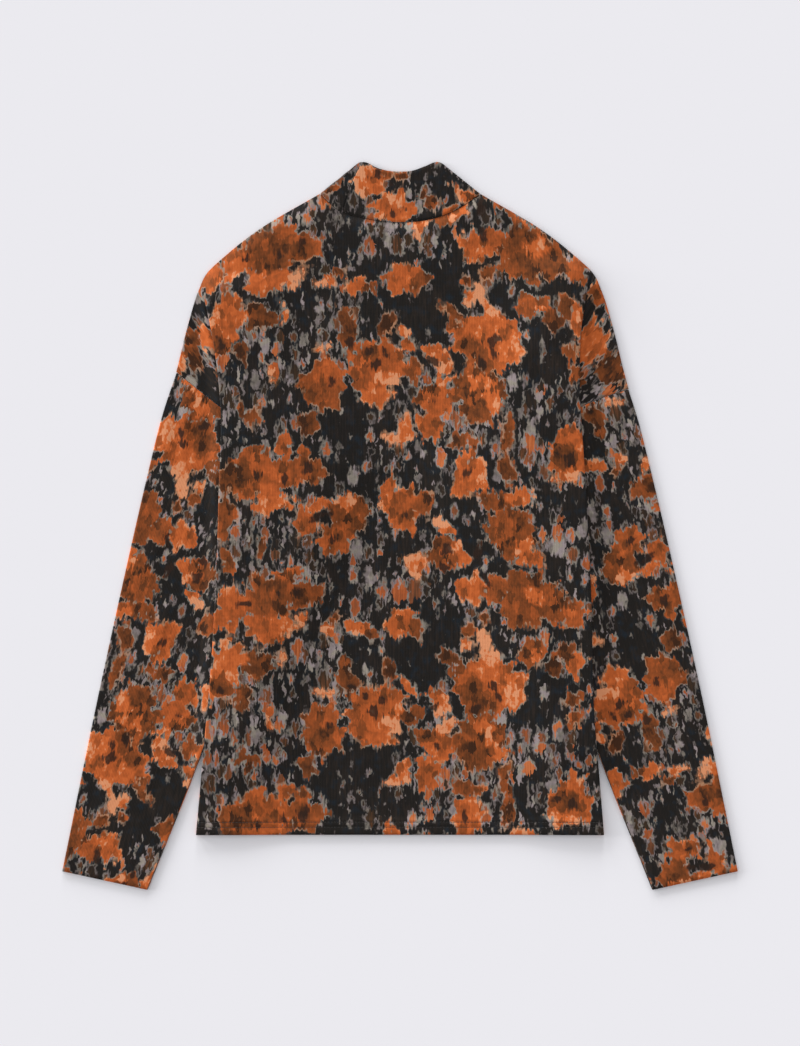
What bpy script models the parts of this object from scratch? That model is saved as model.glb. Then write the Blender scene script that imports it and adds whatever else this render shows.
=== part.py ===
"""A long-sleeved, high-necked top in printed jersey, lying flat with its back up.

Sizes are millimetres. `out` is measured from the centre line and `up` from the hem, as the
top lies; world +Y points to the collar and +Z away from the surface that it lies on.

Every piece is a wall of cloth. Its middle is laid out as rows of points, each with the
direction that the cloth faces there, and both faces are set off from them. Where a sleeve is
swung down, each body panel is tucked: it turns under along the body's edge, runs back in to
the tuck, and above the underarm turns out again as the dropped shoulder. The sleeve lies
between the tucks of the two panels, and settles to the floor outside the body.
"""
from math import cos, pi, radians, sin

import bmesh
import bpy

MM = 0.001

# --- cloth ---
CLOTH = 1.0                      # wall of the jersey
GAP = 0.3                        # between sewn pieces, and between layers that lie together
PITCH = CLOTH + GAP              # from the middle of one layer to the next
FOLD = PITCH / 2                 # radius of a fold, at the middle of the cloth
FOLD_EDGE = FOLD + CLOTH / 2     # radius of a fold's outer face
HEM_DEPTH = 15.0                 # turned-up hem
HEM_EDGE = 1.5                   # length of the step at the top of the hem
HEM_RISE = 0.4                   # how far the hem's second layer raises the outer face

# --- plan of the top, lying down ---
CUFF_OUTER = (338.0, -36.4)      # out, up
CUFF_INNER = (252.2, -54.9)
NECK_CORNER = (80.5, 641.0)      # where shoulder, neckline and collar meet
COLLAR_TIP = (41.5, 672.4)       # top of the collar's side fold
COLLAR_PEAK_UP = 673.0
UNDERARM = (100.0, 368.0)        # hidden point where sleeve, tuck and side seam meet
CENTRE_UP = (COLLAR_PEAK_UP + CUFF_INNER[1]) / 2

# Right and left outline alike, from the collar's corner down to the cuff: up, out
OUTLINE = (
    (641.0, 80.5), (604.9, 141.7), (579.4, 174.3), (561.1, 193.5), (544.3, 201.4),
    (510.9, 211.8), (463.0, 223.8), (413.6, 238.1), (354.9, 252.8), (160.0, 297.5),
    (-36.4, 338.0),
)
# Inner edge of a sleeve, from the hidden underarm to the cuff: up, out
SLEEVE_INNER = ((368.0, 100.0), (227.0, 148.4), (85.6, 196.5), (-54.9, 252.2))
# Side seam inside the tuck, from the underarm to the hem: up, out
SIDE_SEAM = ((368.0, 100.0), (340.0, 103.5), (227.0, 140.0), (85.0, 184.0), (0.0, 196.0))

# The neckline of each panel, across the centre line: across, up
NECK_BACK = (
    (-80.5, 641.0), (-64.2, 626.4), (-36.0, 616.7), (0.0, 612.6), (36.0, 617.0),
    (60.0, 627.0), (80.5, 641.0),
)
NECK_FRONT = (
    (-80.5, 641.0), (-68.0, 603.0), (-40.0, 572.0), (0.0, 561.0), (40.0, 572.0),
    (68.0, 603.0), (80.5, 641.0),
)
# Top edge of the collar, behind and in front: across, up
COLLAR_TOP_BACK = (
    (-41.5, 672.4), (-36.0, 672.9), (-22.2, 666.9), (-12.0, 664.2), (0.0, 663.4),
    (12.0, 664.2), (25.2, 668.8), (36.5, 673.0), (41.5, 672.4),
)
COLLAR_TOP_FRONT = (
    (-41.5, 672.4), (-34.0, 645.0), (-20.0, 620.0), (0.0, 611.0), (20.0, 620.0),
    (34.0, 645.0), (41.5, 672.4),
)
COLLAR_SEAM_BASE = 0.144         # closing seam, as a share of the way from the left corner
COLLAR_SEAM_TOP = 0.05
COLLAR_LEAN = 0.015              # share of a side fold that its foot stands clear of the corner
FOLD_BASE = (0.63, 0.78)         # plan direction that a side fold faces, at its base
FOLD_TIP = (0.95, 0.3)           # and at its tip

# Each side's visible edge of the body (up, out), the height where its tuck starts, and the
# armhole seam from the outline to the underarm (out, up)
SIDES = {
    "left": {
        "sign": -1,
        "apex": 543.0,
        "edge": (
            (543.0, 197.0), (496.0, 187.1), (428.0, 179.3), (345.0, 181.0), (253.0, 184.0),
            (144.0, 190.7), (85.0, 196.3), (0.0, 204.0),
        ),
        "armhole": ((100.0, 368.0), (179.4, 428.0), (223.8, 463.0)),
    },
    "right": {
        "sign": 1,
        "apex": 560.3,
        "edge": (
            (560.3, 189.7), (509.0, 181.5), (454.0, 179.5), (367.0, 184.3), (254.0, 190.4),
            (103.0, 195.2), (69.0, 198.3), (0.0, 204.0),
        ),
        "armhole": ((100.0, 368.0), (186.0, 431.0), (228.7, 446.0)),
    },
}

# --- how the tucks fade in, and how the layers settle ---
# Below the apex, the cloth turns further with each row until it lies folded: below, turn
TUCK_START = ((0.0, 0.0), (5.0, 45.0), (10.0, 90.0), (15.0, 135.0), (21.0, 180.0))
SHORT_RUN = 0.5                  # cloth between the two turns while the tuck fades in
RUN_KNEE = 0.8                   # share of a run at which it has its last point before its end
SETTLE = 12.0                    # width over which a sleeve comes down beside the body
SETTLE_MOST = 0.6                # and the most of the room there that this may take
EDGE_CLEAR = 1.5                 # how far outside the body's edge it starts to come down
DRAPE = 80.0                     # width over which the back comes down inside the tucks
DRAPE_MARGIN = 12.0              # and how far inside them it starts to
TUCK_SLANT = (1.3, 18.0)         # rows of the back climb inward by this slope, up to this much
SLEEVE_OUT = (84.0, 40.0)        # heights between which the body thins below the sleeve
SEAM_CLOSE = 310.0               # height below which the side seam's edges lie together
SEAM_BEND = 1.5                  # how far inside the sleeve they bend together
SEAM_BEND_LEAST = 0.4            # share of the run that stays flat before that bend
SEAM_STEP = 0.5                  # and the least length left for it
SEAM_SHIFT = 0.4                 # the armhole seam's gap, measured along the sleeve
PANEL_BULGE_FADE = 2             # how fast the armhole's curve fades up a shoulder's rows
SLEEVE_BULGE_FADE = 6            # and down a sleeve's rings

# --- how finely the pieces are divided ---
SMOOTH_BELOW = 50.0              # faces that meet at less than this angle are shaded as one
TUCK_SHARES = (0.3, 0.5, 0.68, 0.85, 1.0)
LOWER_ROWS = (340.0, 310.0, 250.0, 190.0, 135.0, 100.0, 84.0, 62.0, 40.0)
SHOULDER_STEPS = 6
NECK_STEPS = (0.0, 0.06, 0.144, 0.25, 0.375, 0.5, 0.625, 0.75, 0.856, 0.94, 1.0)
COLLAR_ROWS = (0.0, 0.25, 0.5, 0.75, 0.92, 1.0)
SLEEVE_ROWS = (0.0, 0.03, 0.08, 0.16, 0.25, 0.34, 0.43, 0.52, 0.6, 0.66, 0.72, 0.8, 0.9, 1.0)
ARC_STEPS = 3
RUN_STEPS = 3
ACROSS_STEPS = (3, 3, 3)         # inside the body's edge, beside it, and out to the outline
INSIDE_LEAST = 0.1               # least share of a row that the first of these columns take


# --- small sums ---
def mix(a, b, share):
    return a + (b - a) * share


def mix_points(a, b, share):
    return tuple(mix(p, q, share) for p, q in zip(a, b))


def ease(share):
    """0 to 1 with a level start and end."""
    share = min(1.0, max(0.0, share))
    return share * share * (3 - 2 * share)


def level(layer):
    """Height of the middle of a layer of cloth; layer 0 lies on the floor."""
    return CLOTH / 2 + layer * PITCH


def smooth(table, at):
    """Second column of a table where the first is `at`, on a smooth curve through its rows."""
    rows = sorted(table)
    keys = [row[0] for row in rows]
    values = [row[1] for row in rows]
    slopes = [(values[i + 1] - values[i]) / (keys[i + 1] - keys[i]) for i in range(len(keys) - 1)]
    tangents = [slopes[0]]
    for i in range(1, len(slopes)):
        before = keys[i] - keys[i - 1]
        after = keys[i + 1] - keys[i]
        tangents.append((slopes[i - 1] * after + slopes[i] * before) / (before + after))
    tangents.append(slopes[-1])
    i = 0
    while i < len(slopes) - 1 and at > keys[i + 1]:
        i += 1
    width = keys[i + 1] - keys[i]
    t = (at - keys[i]) / width
    if t < 0 or t > 1:
        return values[i] + slopes[i] * (at - keys[i])
    return (
        values[i] * (1 + 2 * t) * (1 - t) ** 2
        + values[i + 1] * t * t * (3 - 2 * t)
        + width * t * (1 - t) * (tangents[i] * (1 - t) - tangents[i + 1] * t)
    )


def straight(table, at):
    """Second column of a table where the first is `at`, on straight lines between its rows."""
    rows = sorted(table)
    if at <= rows[0][0]:
        return rows[0][1]
    for low, high in zip(rows, rows[1:]):
        if at <= high[0]:
            return mix(low[1], high[1], (at - low[0]) / (high[0] - low[0]))
    return rows[-1][1]


def solve(test, low, high):
    """Where `test` turns true between low, where it is false, and high."""
    for _ in range(40):
        middle = (low + high) / 2
        if test(middle):
            high = middle
        else:
            low = middle
    return high


# --- cloth walls ---
class Cloth:
    """The middle of a piece of cloth, as quads, with the way that each point faces."""

    def __init__(self):
        self.points = []
        self.quads = []

    def point(self, across, up, height, facing=(0.0, 0.0, 1.0), rise=0.0):
        """Adds a point; `rise` is extra thickness on the side that it faces."""
        self.points.append(((across, up - CENTRE_UP, height), facing, rise))
        return len(self.points) - 1

    def patch(self, rows, closed=False):
        for row, following in zip(rows, rows[1:]):
            count = len(row) if closed else len(row) - 1
            for i in range(count):
                j = (i + 1) % len(row)
                self.quads.append((row[i], row[j], following[j], following[i]))

    def wall(self, name, colour):
        """Makes the closed solid: both faces, and a rim along every open edge."""
        size = len(self.points)
        corners = []
        for side in (1, -1):
            for place, facing, rise in self.points:
                reach = side * CLOTH / 2 + (rise if side > 0 else 0.0)
                corners.append([(p + f * reach) * MM for p, f in zip(place, facing)])
        faces = list(self.quads)
        faces += [tuple(size + i for i in reversed(quad)) for quad in self.quads]
        uses = {}
        for quad in self.quads:
            for edge in zip(quad, quad[1:] + quad[:1]):
                uses.setdefault(frozenset(edge), []).append(edge)
        for found in uses.values():
            if len(found) == 1:
                a, b = found[0]
                faces.append((b, a, a + size, b + size))
        return add_object(name, corners, faces, colour)


def add_object(name, corners, faces, colour):
    mesh = bpy.data.meshes.new(name)
    mesh.from_pydata(corners, [], faces)
    shell = bmesh.new()
    shell.from_mesh(mesh)
    bmesh.ops.recalc_face_normals(shell, faces=shell.faces)
    shell.to_mesh(mesh)
    shell.free()
    mesh.shade_smooth()
    mesh.set_sharp_from_angle(angle=radians(SMOOTH_BELOW))
    mesh.materials.append(jersey(name, colour))
    piece = bpy.data.objects.new(name, mesh)
    bpy.context.scene.collection.objects.link(piece)
    return piece


def jersey(name, colour):
    material = bpy.data.materials.new("jersey_" + name)
    material.use_nodes = True
    shader = material.node_tree.nodes["Principled BSDF"]
    shader.inputs["Base Color"].default_value = (*colour, 1.0)
    shader.inputs["Roughness"].default_value = 0.85
    shader.inputs["Metallic"].default_value = 0.0
    return material


# --- the tuck along a body edge ---
def fold_path(turn, run_ends):
    """Steps out and along the fold of a tuck: a turn, a run, and a turn back.

    Returns (out, drop, heading) at each point, from where the first turn starts. run_ends
    are the lengths along the run at which it has points.
    """
    bend = FOLD * max(turn, pi / 2)
    turn_step = turn / ARC_STEPS
    chord = bend / ARC_STEPS
    if turn_step:
        chord = 2 * (bend / turn) * sin(turn_step / 2)
    lengths = [b - a for a, b in zip((0.0, *run_ends), run_ends)]
    steps = [(chord, turn_step)] * ARC_STEPS
    steps += [(length, 0.0) for length in lengths]
    steps += [(chord, -turn_step)] * ARC_STEPS
    out, drop, heading = 0.0, 0.0, 0.0
    path = [(out, drop, heading)]
    for length, change in steps:
        middle = heading + change / 2
        out += length * cos(middle)
        drop += length * sin(middle)
        heading += change
        path.append((out, drop, heading))
    return path


def tuck_drop(turn):
    return fold_path(turn, (SHORT_RUN,))[-1][1]


TUCK_DROPS = tuple((below, tuck_drop(radians(turn))) for below, turn in TUCK_START)
TUCK_COLUMNS = ARC_STEPS + RUN_STEPS + 1         # points of a row, to the end of the run
SHOULDER_COLUMNS = 2 * ARC_STEPS + RUN_STEPS     # steps of a row, to the end of the second turn


def edge_out(side, up):
    """The visible edge of the body."""
    return smooth(side["edge"], up)


def tuck_out(side, up):
    """The inner fold of the tuck, or the side seam below the underarm."""
    if up <= UNDERARM[1]:
        return straight(SIDE_SEAM, up)
    share = (side["apex"] - up) / (side["apex"] - UNDERARM[1])
    return mix(edge_out(side, side["apex"]), UNDERARM[0], min(1.0, max(0.0, share)))


def tuck_lift(side, up):
    """How far one panel's tuck lifts what lies on it."""
    return straight(TUCK_DROPS, side["apex"] - up)


def sleeve_share(up):
    """1 where the sleeve still lies between the panels, 0 below it."""
    high, low = SLEEVE_OUT
    return min(1.0, max(0.0, (up - low) / (high - low)))


def sleeve_lift(side, out, up):
    """Height of the sleeve's under layer over where it lies outside the body."""
    beyond = out - edge_out(side, up) - EDGE_CLEAR
    return tuck_lift(side, up) * (1 - ease(beyond / SETTLE))


def back_height(across, up):
    """Middle of the back panel: two layers up at the centre, more over the tucks."""
    height = level(1)
    slope, most = TUCK_SLANT
    for side in SIDES.values():
        inboard = max(0.0, edge_out(side, up) - side["sign"] * across)
        pile = tuck_lift(side, up - min(slope * inboard, most)) * (1 + sleeve_share(up))
        inside = tuck_out(side, up) - DRAPE_MARGIN - side["sign"] * across
        height += pile * (1 - ease(inside / DRAPE))
    return height


def tuck_rows(side):
    """Heights of the rows from the apex to the underarm."""
    length = side["apex"] - UNDERARM[1]
    below = [row[0] for row in TUCK_START] + [length * share for share in TUCK_SHARES]
    return [side["apex"] - b for b in below]


def panel_rows(side):
    return tuck_rows(side) + list(LOWER_ROWS) + [HEM_DEPTH + HEM_EDGE, HEM_DEPTH, 0.0]


def armhole_bulge(side, out):
    """How far the armhole seam lies above the straight line between its ends."""
    table = side["armhole"]
    return smooth(table, out) - straight((table[0], table[-1]), out)


def lay_across(side, inner, outer, bend):
    """Plan points from inner to outer, with columns along the strip beside the body's edge.

    bend is the share of the armhole seam's own curve that the row follows.
    """
    def plan(share):
        out, up = mix_points(inner, outer, share)
        return out, up + bend * armhole_bulge(side, out)

    def outside(share):
        out, up = plan(share)
        return out > edge_out(side, up) + EDGE_CLEAR

    crossing = max(INSIDE_LEAST, solve(outside, 0.0, 1.0))
    settle = min(SETTLE / (outer[0] - inner[0]), SETTLE_MOST * (1 - crossing))
    marks = (0.0, crossing, crossing + settle, 1.0)
    shares = [0.0]
    for start, end, steps in zip(marks, marks[1:], ACROSS_STEPS):
        shares += [mix(start, end, (i + 1) / steps) for i in range(steps)]
    return [plan(share) for share in shares]


# --- body panels ---
def shoulder_start(side):
    """Height at which the outline reaches the start of the body's edge."""
    start = edge_out(side, side["apex"]) - FOLD_EDGE
    return solve(lambda up: smooth(OUTLINE, up) < start, side["apex"], NECK_CORNER[1])


def top_edge(neckline):
    """Plan points of a panel's top edge, from the left tuck over the neckline to the right."""
    edges = []
    for side in SIDES.values():
        start = shoulder_start(side)
        heights = [mix(start, NECK_CORNER[1], i / SHOULDER_STEPS) for i in range(SHOULDER_STEPS)]
        edges.append([(side["sign"] * smooth(OUTLINE, up), up) for up in heights])
    left, right = edges
    neck = [mix(-NECK_CORNER[0], NECK_CORNER[0], share) for share in NECK_STEPS]
    return left + [(across, smooth(neckline, across)) for across in neck] + right[::-1]


def main_grid(cloth, neckline, height, rise):
    """The part of a panel between the two body edges, as rows from the top edge to the hem."""
    top = top_edge(neckline)
    left_rows, right_rows = (panel_rows(side) for side in SIDES.values())
    last = len(left_rows) - 3
    first_left, first_right = top[0], top[-1]
    grid = []
    for j, (left_up, right_up) in enumerate(zip(left_rows, right_rows)):
        ends = []
        for side, up in zip(SIDES.values(), (left_up, right_up)):
            ends.append((side["sign"] * (edge_out(side, up) - FOLD_EDGE), up))
        if j == 0:
            ends = [first_left, first_right]
        pull = max(0.0, (left_up - left_rows[last]) / (left_rows[0] - left_rows[last]))
        row = []
        for across, up in top:
            share = (across - first_left[0]) / (first_right[0] - first_left[0])
            base = mix_points(first_left, first_right, share)
            place = mix_points(ends[0], ends[1], share)
            x = place[0] + pull * (across - base[0])
            y = place[1] + pull * (up - base[1])
            row.append(cloth.point(x, y, height(x, y), rise=rise if j > last else 0.0))
        grid.append(row)
    cloth.patch(grid)
    return grid


def tuck_side(cloth, side, starts, facing_up):
    """The tuck of one panel on one side, from the panel's edge points `starts`.

    facing_up is 1 for the back, whose tuck lies under it, and -1 for the front, whose tuck
    lies over it.
    """
    shoulder_count = len(tuck_rows(side))
    rows = [stub_row(cloth, side, starts[0], facing_up)]
    for j, (start, up) in enumerate(zip(starts, panel_rows(side))):
        if j == 0:
            continue
        turn = radians(TUCK_START[j][1]) if j < len(TUCK_START) else pi
        row = [start] + tuck_row(cloth, side, start, up, turn, j < shoulder_count, facing_up)
        if j < shoulder_count:
            row += shoulder_row(cloth, side, row[-1], up, facing_up)
        rows.append(row)
    cloth.patch(rows[:shoulder_count])
    cloth.patch([row[:TUCK_COLUMNS] for row in rows[shoulder_count - 1:]])


def stub_row(cloth, side, start, facing_up):
    """A tuck's first row, which isn't folded and runs down the outline to the apex."""
    base = cloth.points[start][0][2]
    count = SHOULDER_COLUMNS + sum(ACROSS_STEPS)
    row = [start]
    for step in range(1, count + 1):
        up = mix(shoulder_start(side), side["apex"], step / count)
        out = smooth(OUTLINE, up)
        height = base
        if step > SHOULDER_COLUMNS:
            height = shoulder_height(side, out, up, facing_up)
        row.append(cloth.point(side["sign"] * out, up, height))
    return row


def tuck_run(side, up, begin, turn, shoulder):
    """Length of a tuck's run, and of its part before the last point."""
    if turn < pi:
        return SHORT_RUN, SHORT_RUN * RUN_KNEE
    run = begin - tuck_out(side, up)
    if shoulder:
        return run - FOLD_EDGE, (run - FOLD_EDGE) * RUN_KNEE
    knee = begin - smooth(SLEEVE_INNER, up) + SEAM_BEND
    return run, max(run * SEAM_BEND_LEAST, min(run - SEAM_STEP, knee))


def tuck_row(cloth, side, start, up, turn, shoulder, facing_up):
    """A row of a tuck: round the body's edge, in along the run and, on a shoulder, round again."""
    begin = edge_out(side, up) - FOLD_EDGE
    base = cloth.points[start][0][2]
    run, knee = tuck_run(side, up, begin, turn, shoulder)
    marks = [knee * (i + 1) / (RUN_STEPS - 1) for i in range(RUN_STEPS - 1)] + [run]
    path = fold_path(turn, marks)[1:]
    if not shoulder:
        path = path[:TUCK_COLUMNS - 1]
    row = []
    for out, drop, heading in path:
        facing = (side["sign"] * facing_up * sin(heading), 0.0, cos(heading))
        height = base - facing_up * drop
        if not shoulder and len(row) == len(path) - 1 and up <= SEAM_CLOSE:
            height = level(1 + shoulder_layer(facing_up)) + PITCH * sleeve_share(up)
        row.append(cloth.point(side["sign"] * (begin + out), up, height, facing))
    return row


def shoulder_layer(facing_up):
    """Layer of a panel's dropped shoulder beside the body: the back's lies on the front's."""
    return 1 if facing_up > 0 else 0


def shoulder_height(side, out, up, facing_up):
    return level(shoulder_layer(facing_up)) + sleeve_lift(side, out, up)


def shoulder_row(cloth, side, start, row_up, facing_up):
    """A row of the dropped shoulder, from the inner fold of the tuck to the outline."""
    sign = side["sign"]
    x, y, _ = cloth.points[start][0]
    inner = (sign * x, y + CENTRE_UP)
    share = (side["apex"] - row_up) / (side["apex"] - UNDERARM[1])
    outer_up = mix(side["apex"], side["armhole"][-1][1], share)
    outer = (smooth(OUTLINE, outer_up), outer_up)
    places = lay_across(side, inner, outer, share ** PANEL_BULGE_FADE)[1:]
    row = []
    for out, up in places:
        row.append(cloth.point(sign * out, up, shoulder_height(side, out, up, facing_up)))
    return row


def body_panel(name, neckline, height, facing_up, rise, colour):
    cloth = Cloth()
    grid = main_grid(cloth, neckline, height, rise)
    left, right = SIDES.values()
    tuck_side(cloth, left, [row[0] for row in grid], facing_up)
    tuck_side(cloth, right, [row[-1] for row in grid], facing_up)
    return cloth.wall(name, colour)


# --- sleeves ---
def sleeve(name, side, colour):
    """A sleeve pressed flat: a tube whose rings run from the armhole seam to the cuff."""
    cloth = Cloth()
    rings = []
    for share in SLEEVE_ROWS:
        inner_up = mix(UNDERARM[1] - SEAM_SHIFT, CUFF_INNER[1], share)
        outer_up = mix(side["armhole"][-1][1] - SEAM_SHIFT, CUFF_OUTER[1], share)
        inner = (smooth(SLEEVE_INNER, inner_up) + FOLD_EDGE, inner_up)
        outer = (smooth(OUTLINE, outer_up), outer_up)
        places = lay_across(side, inner, outer, (1 - share) ** SLEEVE_BULGE_FADE)
        before, end = places[-2], places[-1]
        places[-1] = mix_points(end, before, FOLD_EDGE / (end[0] - before[0]))
        rings.append(sleeve_ring(cloth, side, places))
    cloth.patch(rings, closed=True)
    return cloth.wall(name, colour)


def sleeve_ring(cloth, side, places):
    """One ring: over the top to the outer fold, round it, back underneath, and round."""
    sign = side["sign"]
    ring = []
    for layer, row, facing in ((1, places, 1), (0, places[::-1], -1)):
        for out, up in row:
            height = level(layer) + sleeve_lift(side, out, up)
            ring.append(cloth.point(sign * out, up, height, (0.0, 0.0, facing)))
        out, up = row[-1]
        middle = level(layer) - facing * FOLD + sleeve_lift(side, out, up)
        for i in range(1, ARC_STEPS):
            angle = pi * i / ARC_STEPS
            outward, upward = facing * sin(angle), facing * cos(angle)
            place = sign * (out + FOLD * outward)
            ring.append(cloth.point(place, up, middle + FOLD * upward, (sign * outward, 0.0, upward)))
    return ring


# --- collar ---
def seam_offset(table, across, distance):
    """Plan point at `distance` from a curve, square to it, on its upper side."""
    step = 0.5
    slope = (smooth(table, across + step) - smooth(table, across - step)) / (2 * step)
    length = (1 + slope * slope) ** 0.5
    return across - distance * slope / length, smooth(table, across) + distance / length


def collar_place(neckline, top, share, row):
    """Plan point of the collar, `share` of the way from its left side fold to its right."""
    base_across = mix(-NECK_CORNER[0], NECK_CORNER[0], share)
    if 0 < share < 1:
        base = seam_offset(neckline, base_across, GAP)
    else:
        lean = mix_points(NECK_CORNER, COLLAR_TIP, COLLAR_LEAN)
        base = (lean[0] if share else -lean[0], lean[1])
    top_across = mix(-COLLAR_TIP[0], COLLAR_TIP[0], share)
    return mix_points(base, (top_across, smooth(top, top_across)), row)


def collar(name, colour):
    """A band round the neck, pressed flat, closed by one seam on the wearer's left."""
    cloth = Cloth()
    corner_steps = [step / COLLAR_SEAM_BASE for step in NECK_STEPS if step <= COLLAR_SEAM_BASE]
    behind_steps = [
        (step - COLLAR_SEAM_BASE) / (1 - COLLAR_SEAM_BASE)
        for step in NECK_STEPS if step >= COLLAR_SEAM_BASE
    ]
    rows = []
    for row in COLLAR_ROWS:
        seam = mix(COLLAR_SEAM_BASE, COLLAR_SEAM_TOP, row)
        behind = [
            collar_place(NECK_BACK, COLLAR_TOP_BACK, mix(seam, 1.0, step), row)
            for step in behind_steps
        ]
        front = [
            collar_place(NECK_FRONT, COLLAR_TOP_FRONT, step, row) for step in NECK_STEPS[::-1]
        ]
        corner = [
            collar_place(NECK_BACK, COLLAR_TOP_BACK, seam * step, row) for step in corner_steps
        ]
        behind[0] = (behind[0][0] + GAP / 2, behind[0][1])
        corner[-1] = (corner[-1][0] - GAP / 2, corner[-1][1])
        rows.append(collar_row(cloth, behind, front, corner, mix_points(FOLD_BASE, FOLD_TIP, row)))
    cloth.patch(rows)
    return cloth.wall(name, colour)


def collar_row(cloth, behind, front, corner, outward):
    """One row round the band: from the seam across the back, round, and back to the seam.

    outward is the way that the right side fold faces in plan; the left one mirrors it.
    """
    length = (outward[0] ** 2 + outward[1] ** 2) ** 0.5
    outward = (outward[0] / length, outward[1] / length)
    for places, end, sign in ((behind, -1, 1), (front, 0, 1), (front, -1, -1), (corner, 0, -1)):
        x, y = places[end]
        places[end] = (x - sign * outward[0] * FOLD_EDGE, y - outward[1] * FOLD_EDGE)
    points = [cloth.point(x, y, level(1)) for x, y in behind]
    points += collar_fold(cloth, behind[-1], outward, 1, 1)
    points += [cloth.point(x, y, level(0), (0.0, 0.0, -1.0)) for x, y in front]
    points += collar_fold(cloth, front[-1], outward, -1, -1)
    points += [cloth.point(x, y, level(1)) for x, y in corner]
    return points


def collar_fold(cloth, place, outward, sign, upper):
    """The points round a side fold, from the upper layer down, or up to it if upper is -1."""
    points = []
    for i in range(1, ARC_STEPS):
        angle = pi * i / ARC_STEPS
        reach = sin(angle)
        upward = upper * cos(angle)
        facing = (sign * outward[0] * reach, outward[1] * reach, upward)
        x = place[0] + sign * outward[0] * FOLD * reach
        y = place[1] + outward[1] * FOLD * reach
        points.append(cloth.point(x, y, level(0) + FOLD + FOLD * upward, facing))
    return points


# --- the top ---
for old in list(bpy.data.objects):
    bpy.data.objects.remove(old)

body_panel("front", NECK_FRONT, lambda across, up: level(0), -1, 0.0, (0.10, 0.055, 0.035))
body_panel("back", NECK_BACK, back_height, 1, HEM_RISE, (0.16, 0.070, 0.035))
sleeve("sleeve_left", SIDES["left"], (0.14, 0.065, 0.035))
sleeve("sleeve_right", SIDES["right"], (0.14, 0.065, 0.035))
collar("collar", (0.18, 0.080, 0.040))
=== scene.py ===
"""A long-sleeved, high-necked top in printed jersey, lying flat with its back up.

Sizes are millimetres of the real top. `out` is measured from the centre line and `up` from the
hem, as the top lies; world +Y points to the collar and +Z away from the surface it lies on.
"""
from math import atan2, cos, hypot, pi, radians, sin

import bmesh
import bpy
import numpy as np
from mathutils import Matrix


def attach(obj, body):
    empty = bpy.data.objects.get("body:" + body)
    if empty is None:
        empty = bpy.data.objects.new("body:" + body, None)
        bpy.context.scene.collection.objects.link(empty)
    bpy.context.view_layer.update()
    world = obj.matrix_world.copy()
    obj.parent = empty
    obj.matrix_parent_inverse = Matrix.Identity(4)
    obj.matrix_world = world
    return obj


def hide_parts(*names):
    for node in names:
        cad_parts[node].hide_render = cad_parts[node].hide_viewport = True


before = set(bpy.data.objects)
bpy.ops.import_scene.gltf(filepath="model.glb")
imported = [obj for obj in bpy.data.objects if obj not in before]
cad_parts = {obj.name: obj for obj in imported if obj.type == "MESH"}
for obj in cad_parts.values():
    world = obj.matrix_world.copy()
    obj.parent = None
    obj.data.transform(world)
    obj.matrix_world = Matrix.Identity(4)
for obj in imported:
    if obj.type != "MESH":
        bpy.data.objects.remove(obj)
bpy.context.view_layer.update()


# ==== The printed jersey ========================================================================
# A soft cotton and elastane single jersey, about 240 grams a square metre, printed all over
# with blurred flowers on black. All five pieces are cut from it, each its own way round.
MM = 0.001

# The print repeats at this step. Its larger flowers were charted, to about 5 mm, as
# ovals: across and up from the middle of the hem, half width, half height, lean, and a tone
# from 0, brown, over rust and orange to 1, peach. Petals lie on flowers, hearts on both.
REPEAT = (400.0, 345.0)
FLOWERS = (
    (-138, 577, 34, 18, 0, 0.50), (-115, 602, 14, 8, 0, 0.50), (-166, 573, 16, 15, 0, 0.75),
    (-176, 510, 17, 31, -15, 0.80), (-139, 517, 17, 12, 0, 0.20), (-42, 551, 10, 8, 0, 0.75),
    (-52, 500, 9, 20, 10, 0.20), (-77, 450, 22, 23, 0, 0.45), (-24, 465, 27, 26, 0, 0.70),
    (-159, 483, 10, 9, 0, 0.15), (5, 556, 20, 12, 0, 0.65), (72, 590, 12, 15, 0, 0.75),
    (95, 592, 12, 14, 0, 0.50), (130, 580, 34, 24, 0, 0.40), (175, 565, 14, 12, 0, 0.60),
    (132, 529, 14, 13, 0, 0.45), (176, 515, 8, 14, 0, 0.80), (90, 495, 32, 28, 0, 0.65),
    (80, 440, 27, 25, 0, 0.35), (35, 482, 9, 8, 0, 0.70), (13, 465, 9, 10, 0, 0.30),
    (172, 483, 8, 7, 0, 0.40), (175, 460, 8, 8, 0, 0.45), (-138, 360, 32, 24, 0, 0.60),
    (-93, 365, 18, 15, 0, 0.40), (-128, 335, 18, 13, 0, 0.75), (-170, 360, 11, 13, 0, 0.25),
    (-177, 320, 8, 22, 0, 0.30), (-97, 315, 10, 16, 0, 0.60), (-80, 330, 14, 6, 20, 0.80),
    (-50, 320, 18, 20, 0, 0.35), (-65, 295, 18, 12, 0, 0.60), (-8, 335, 12, 18, 0, 0.70),
    (-172, 275, 8, 10, 0, 0.40), (33, 440, 15, 12, 0, 0.40), (28, 408, 13, 16, 0, 0.60),
    (68, 360, 16, 20, 0, 0.75), (170, 380, 20, 27, 0, 0.70), (97, 334, 14, 8, 0, 0.35),
    (120, 338, 14, 10, 0, 0.80), (110, 300, 26, 24, 0, 0.35), (5, 325, 18, 18, 0, 0.60),
    (45, 282, 15, 18, 0, 0.35), (210, 560, 13, 16, 0, 0.62),
)
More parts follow.
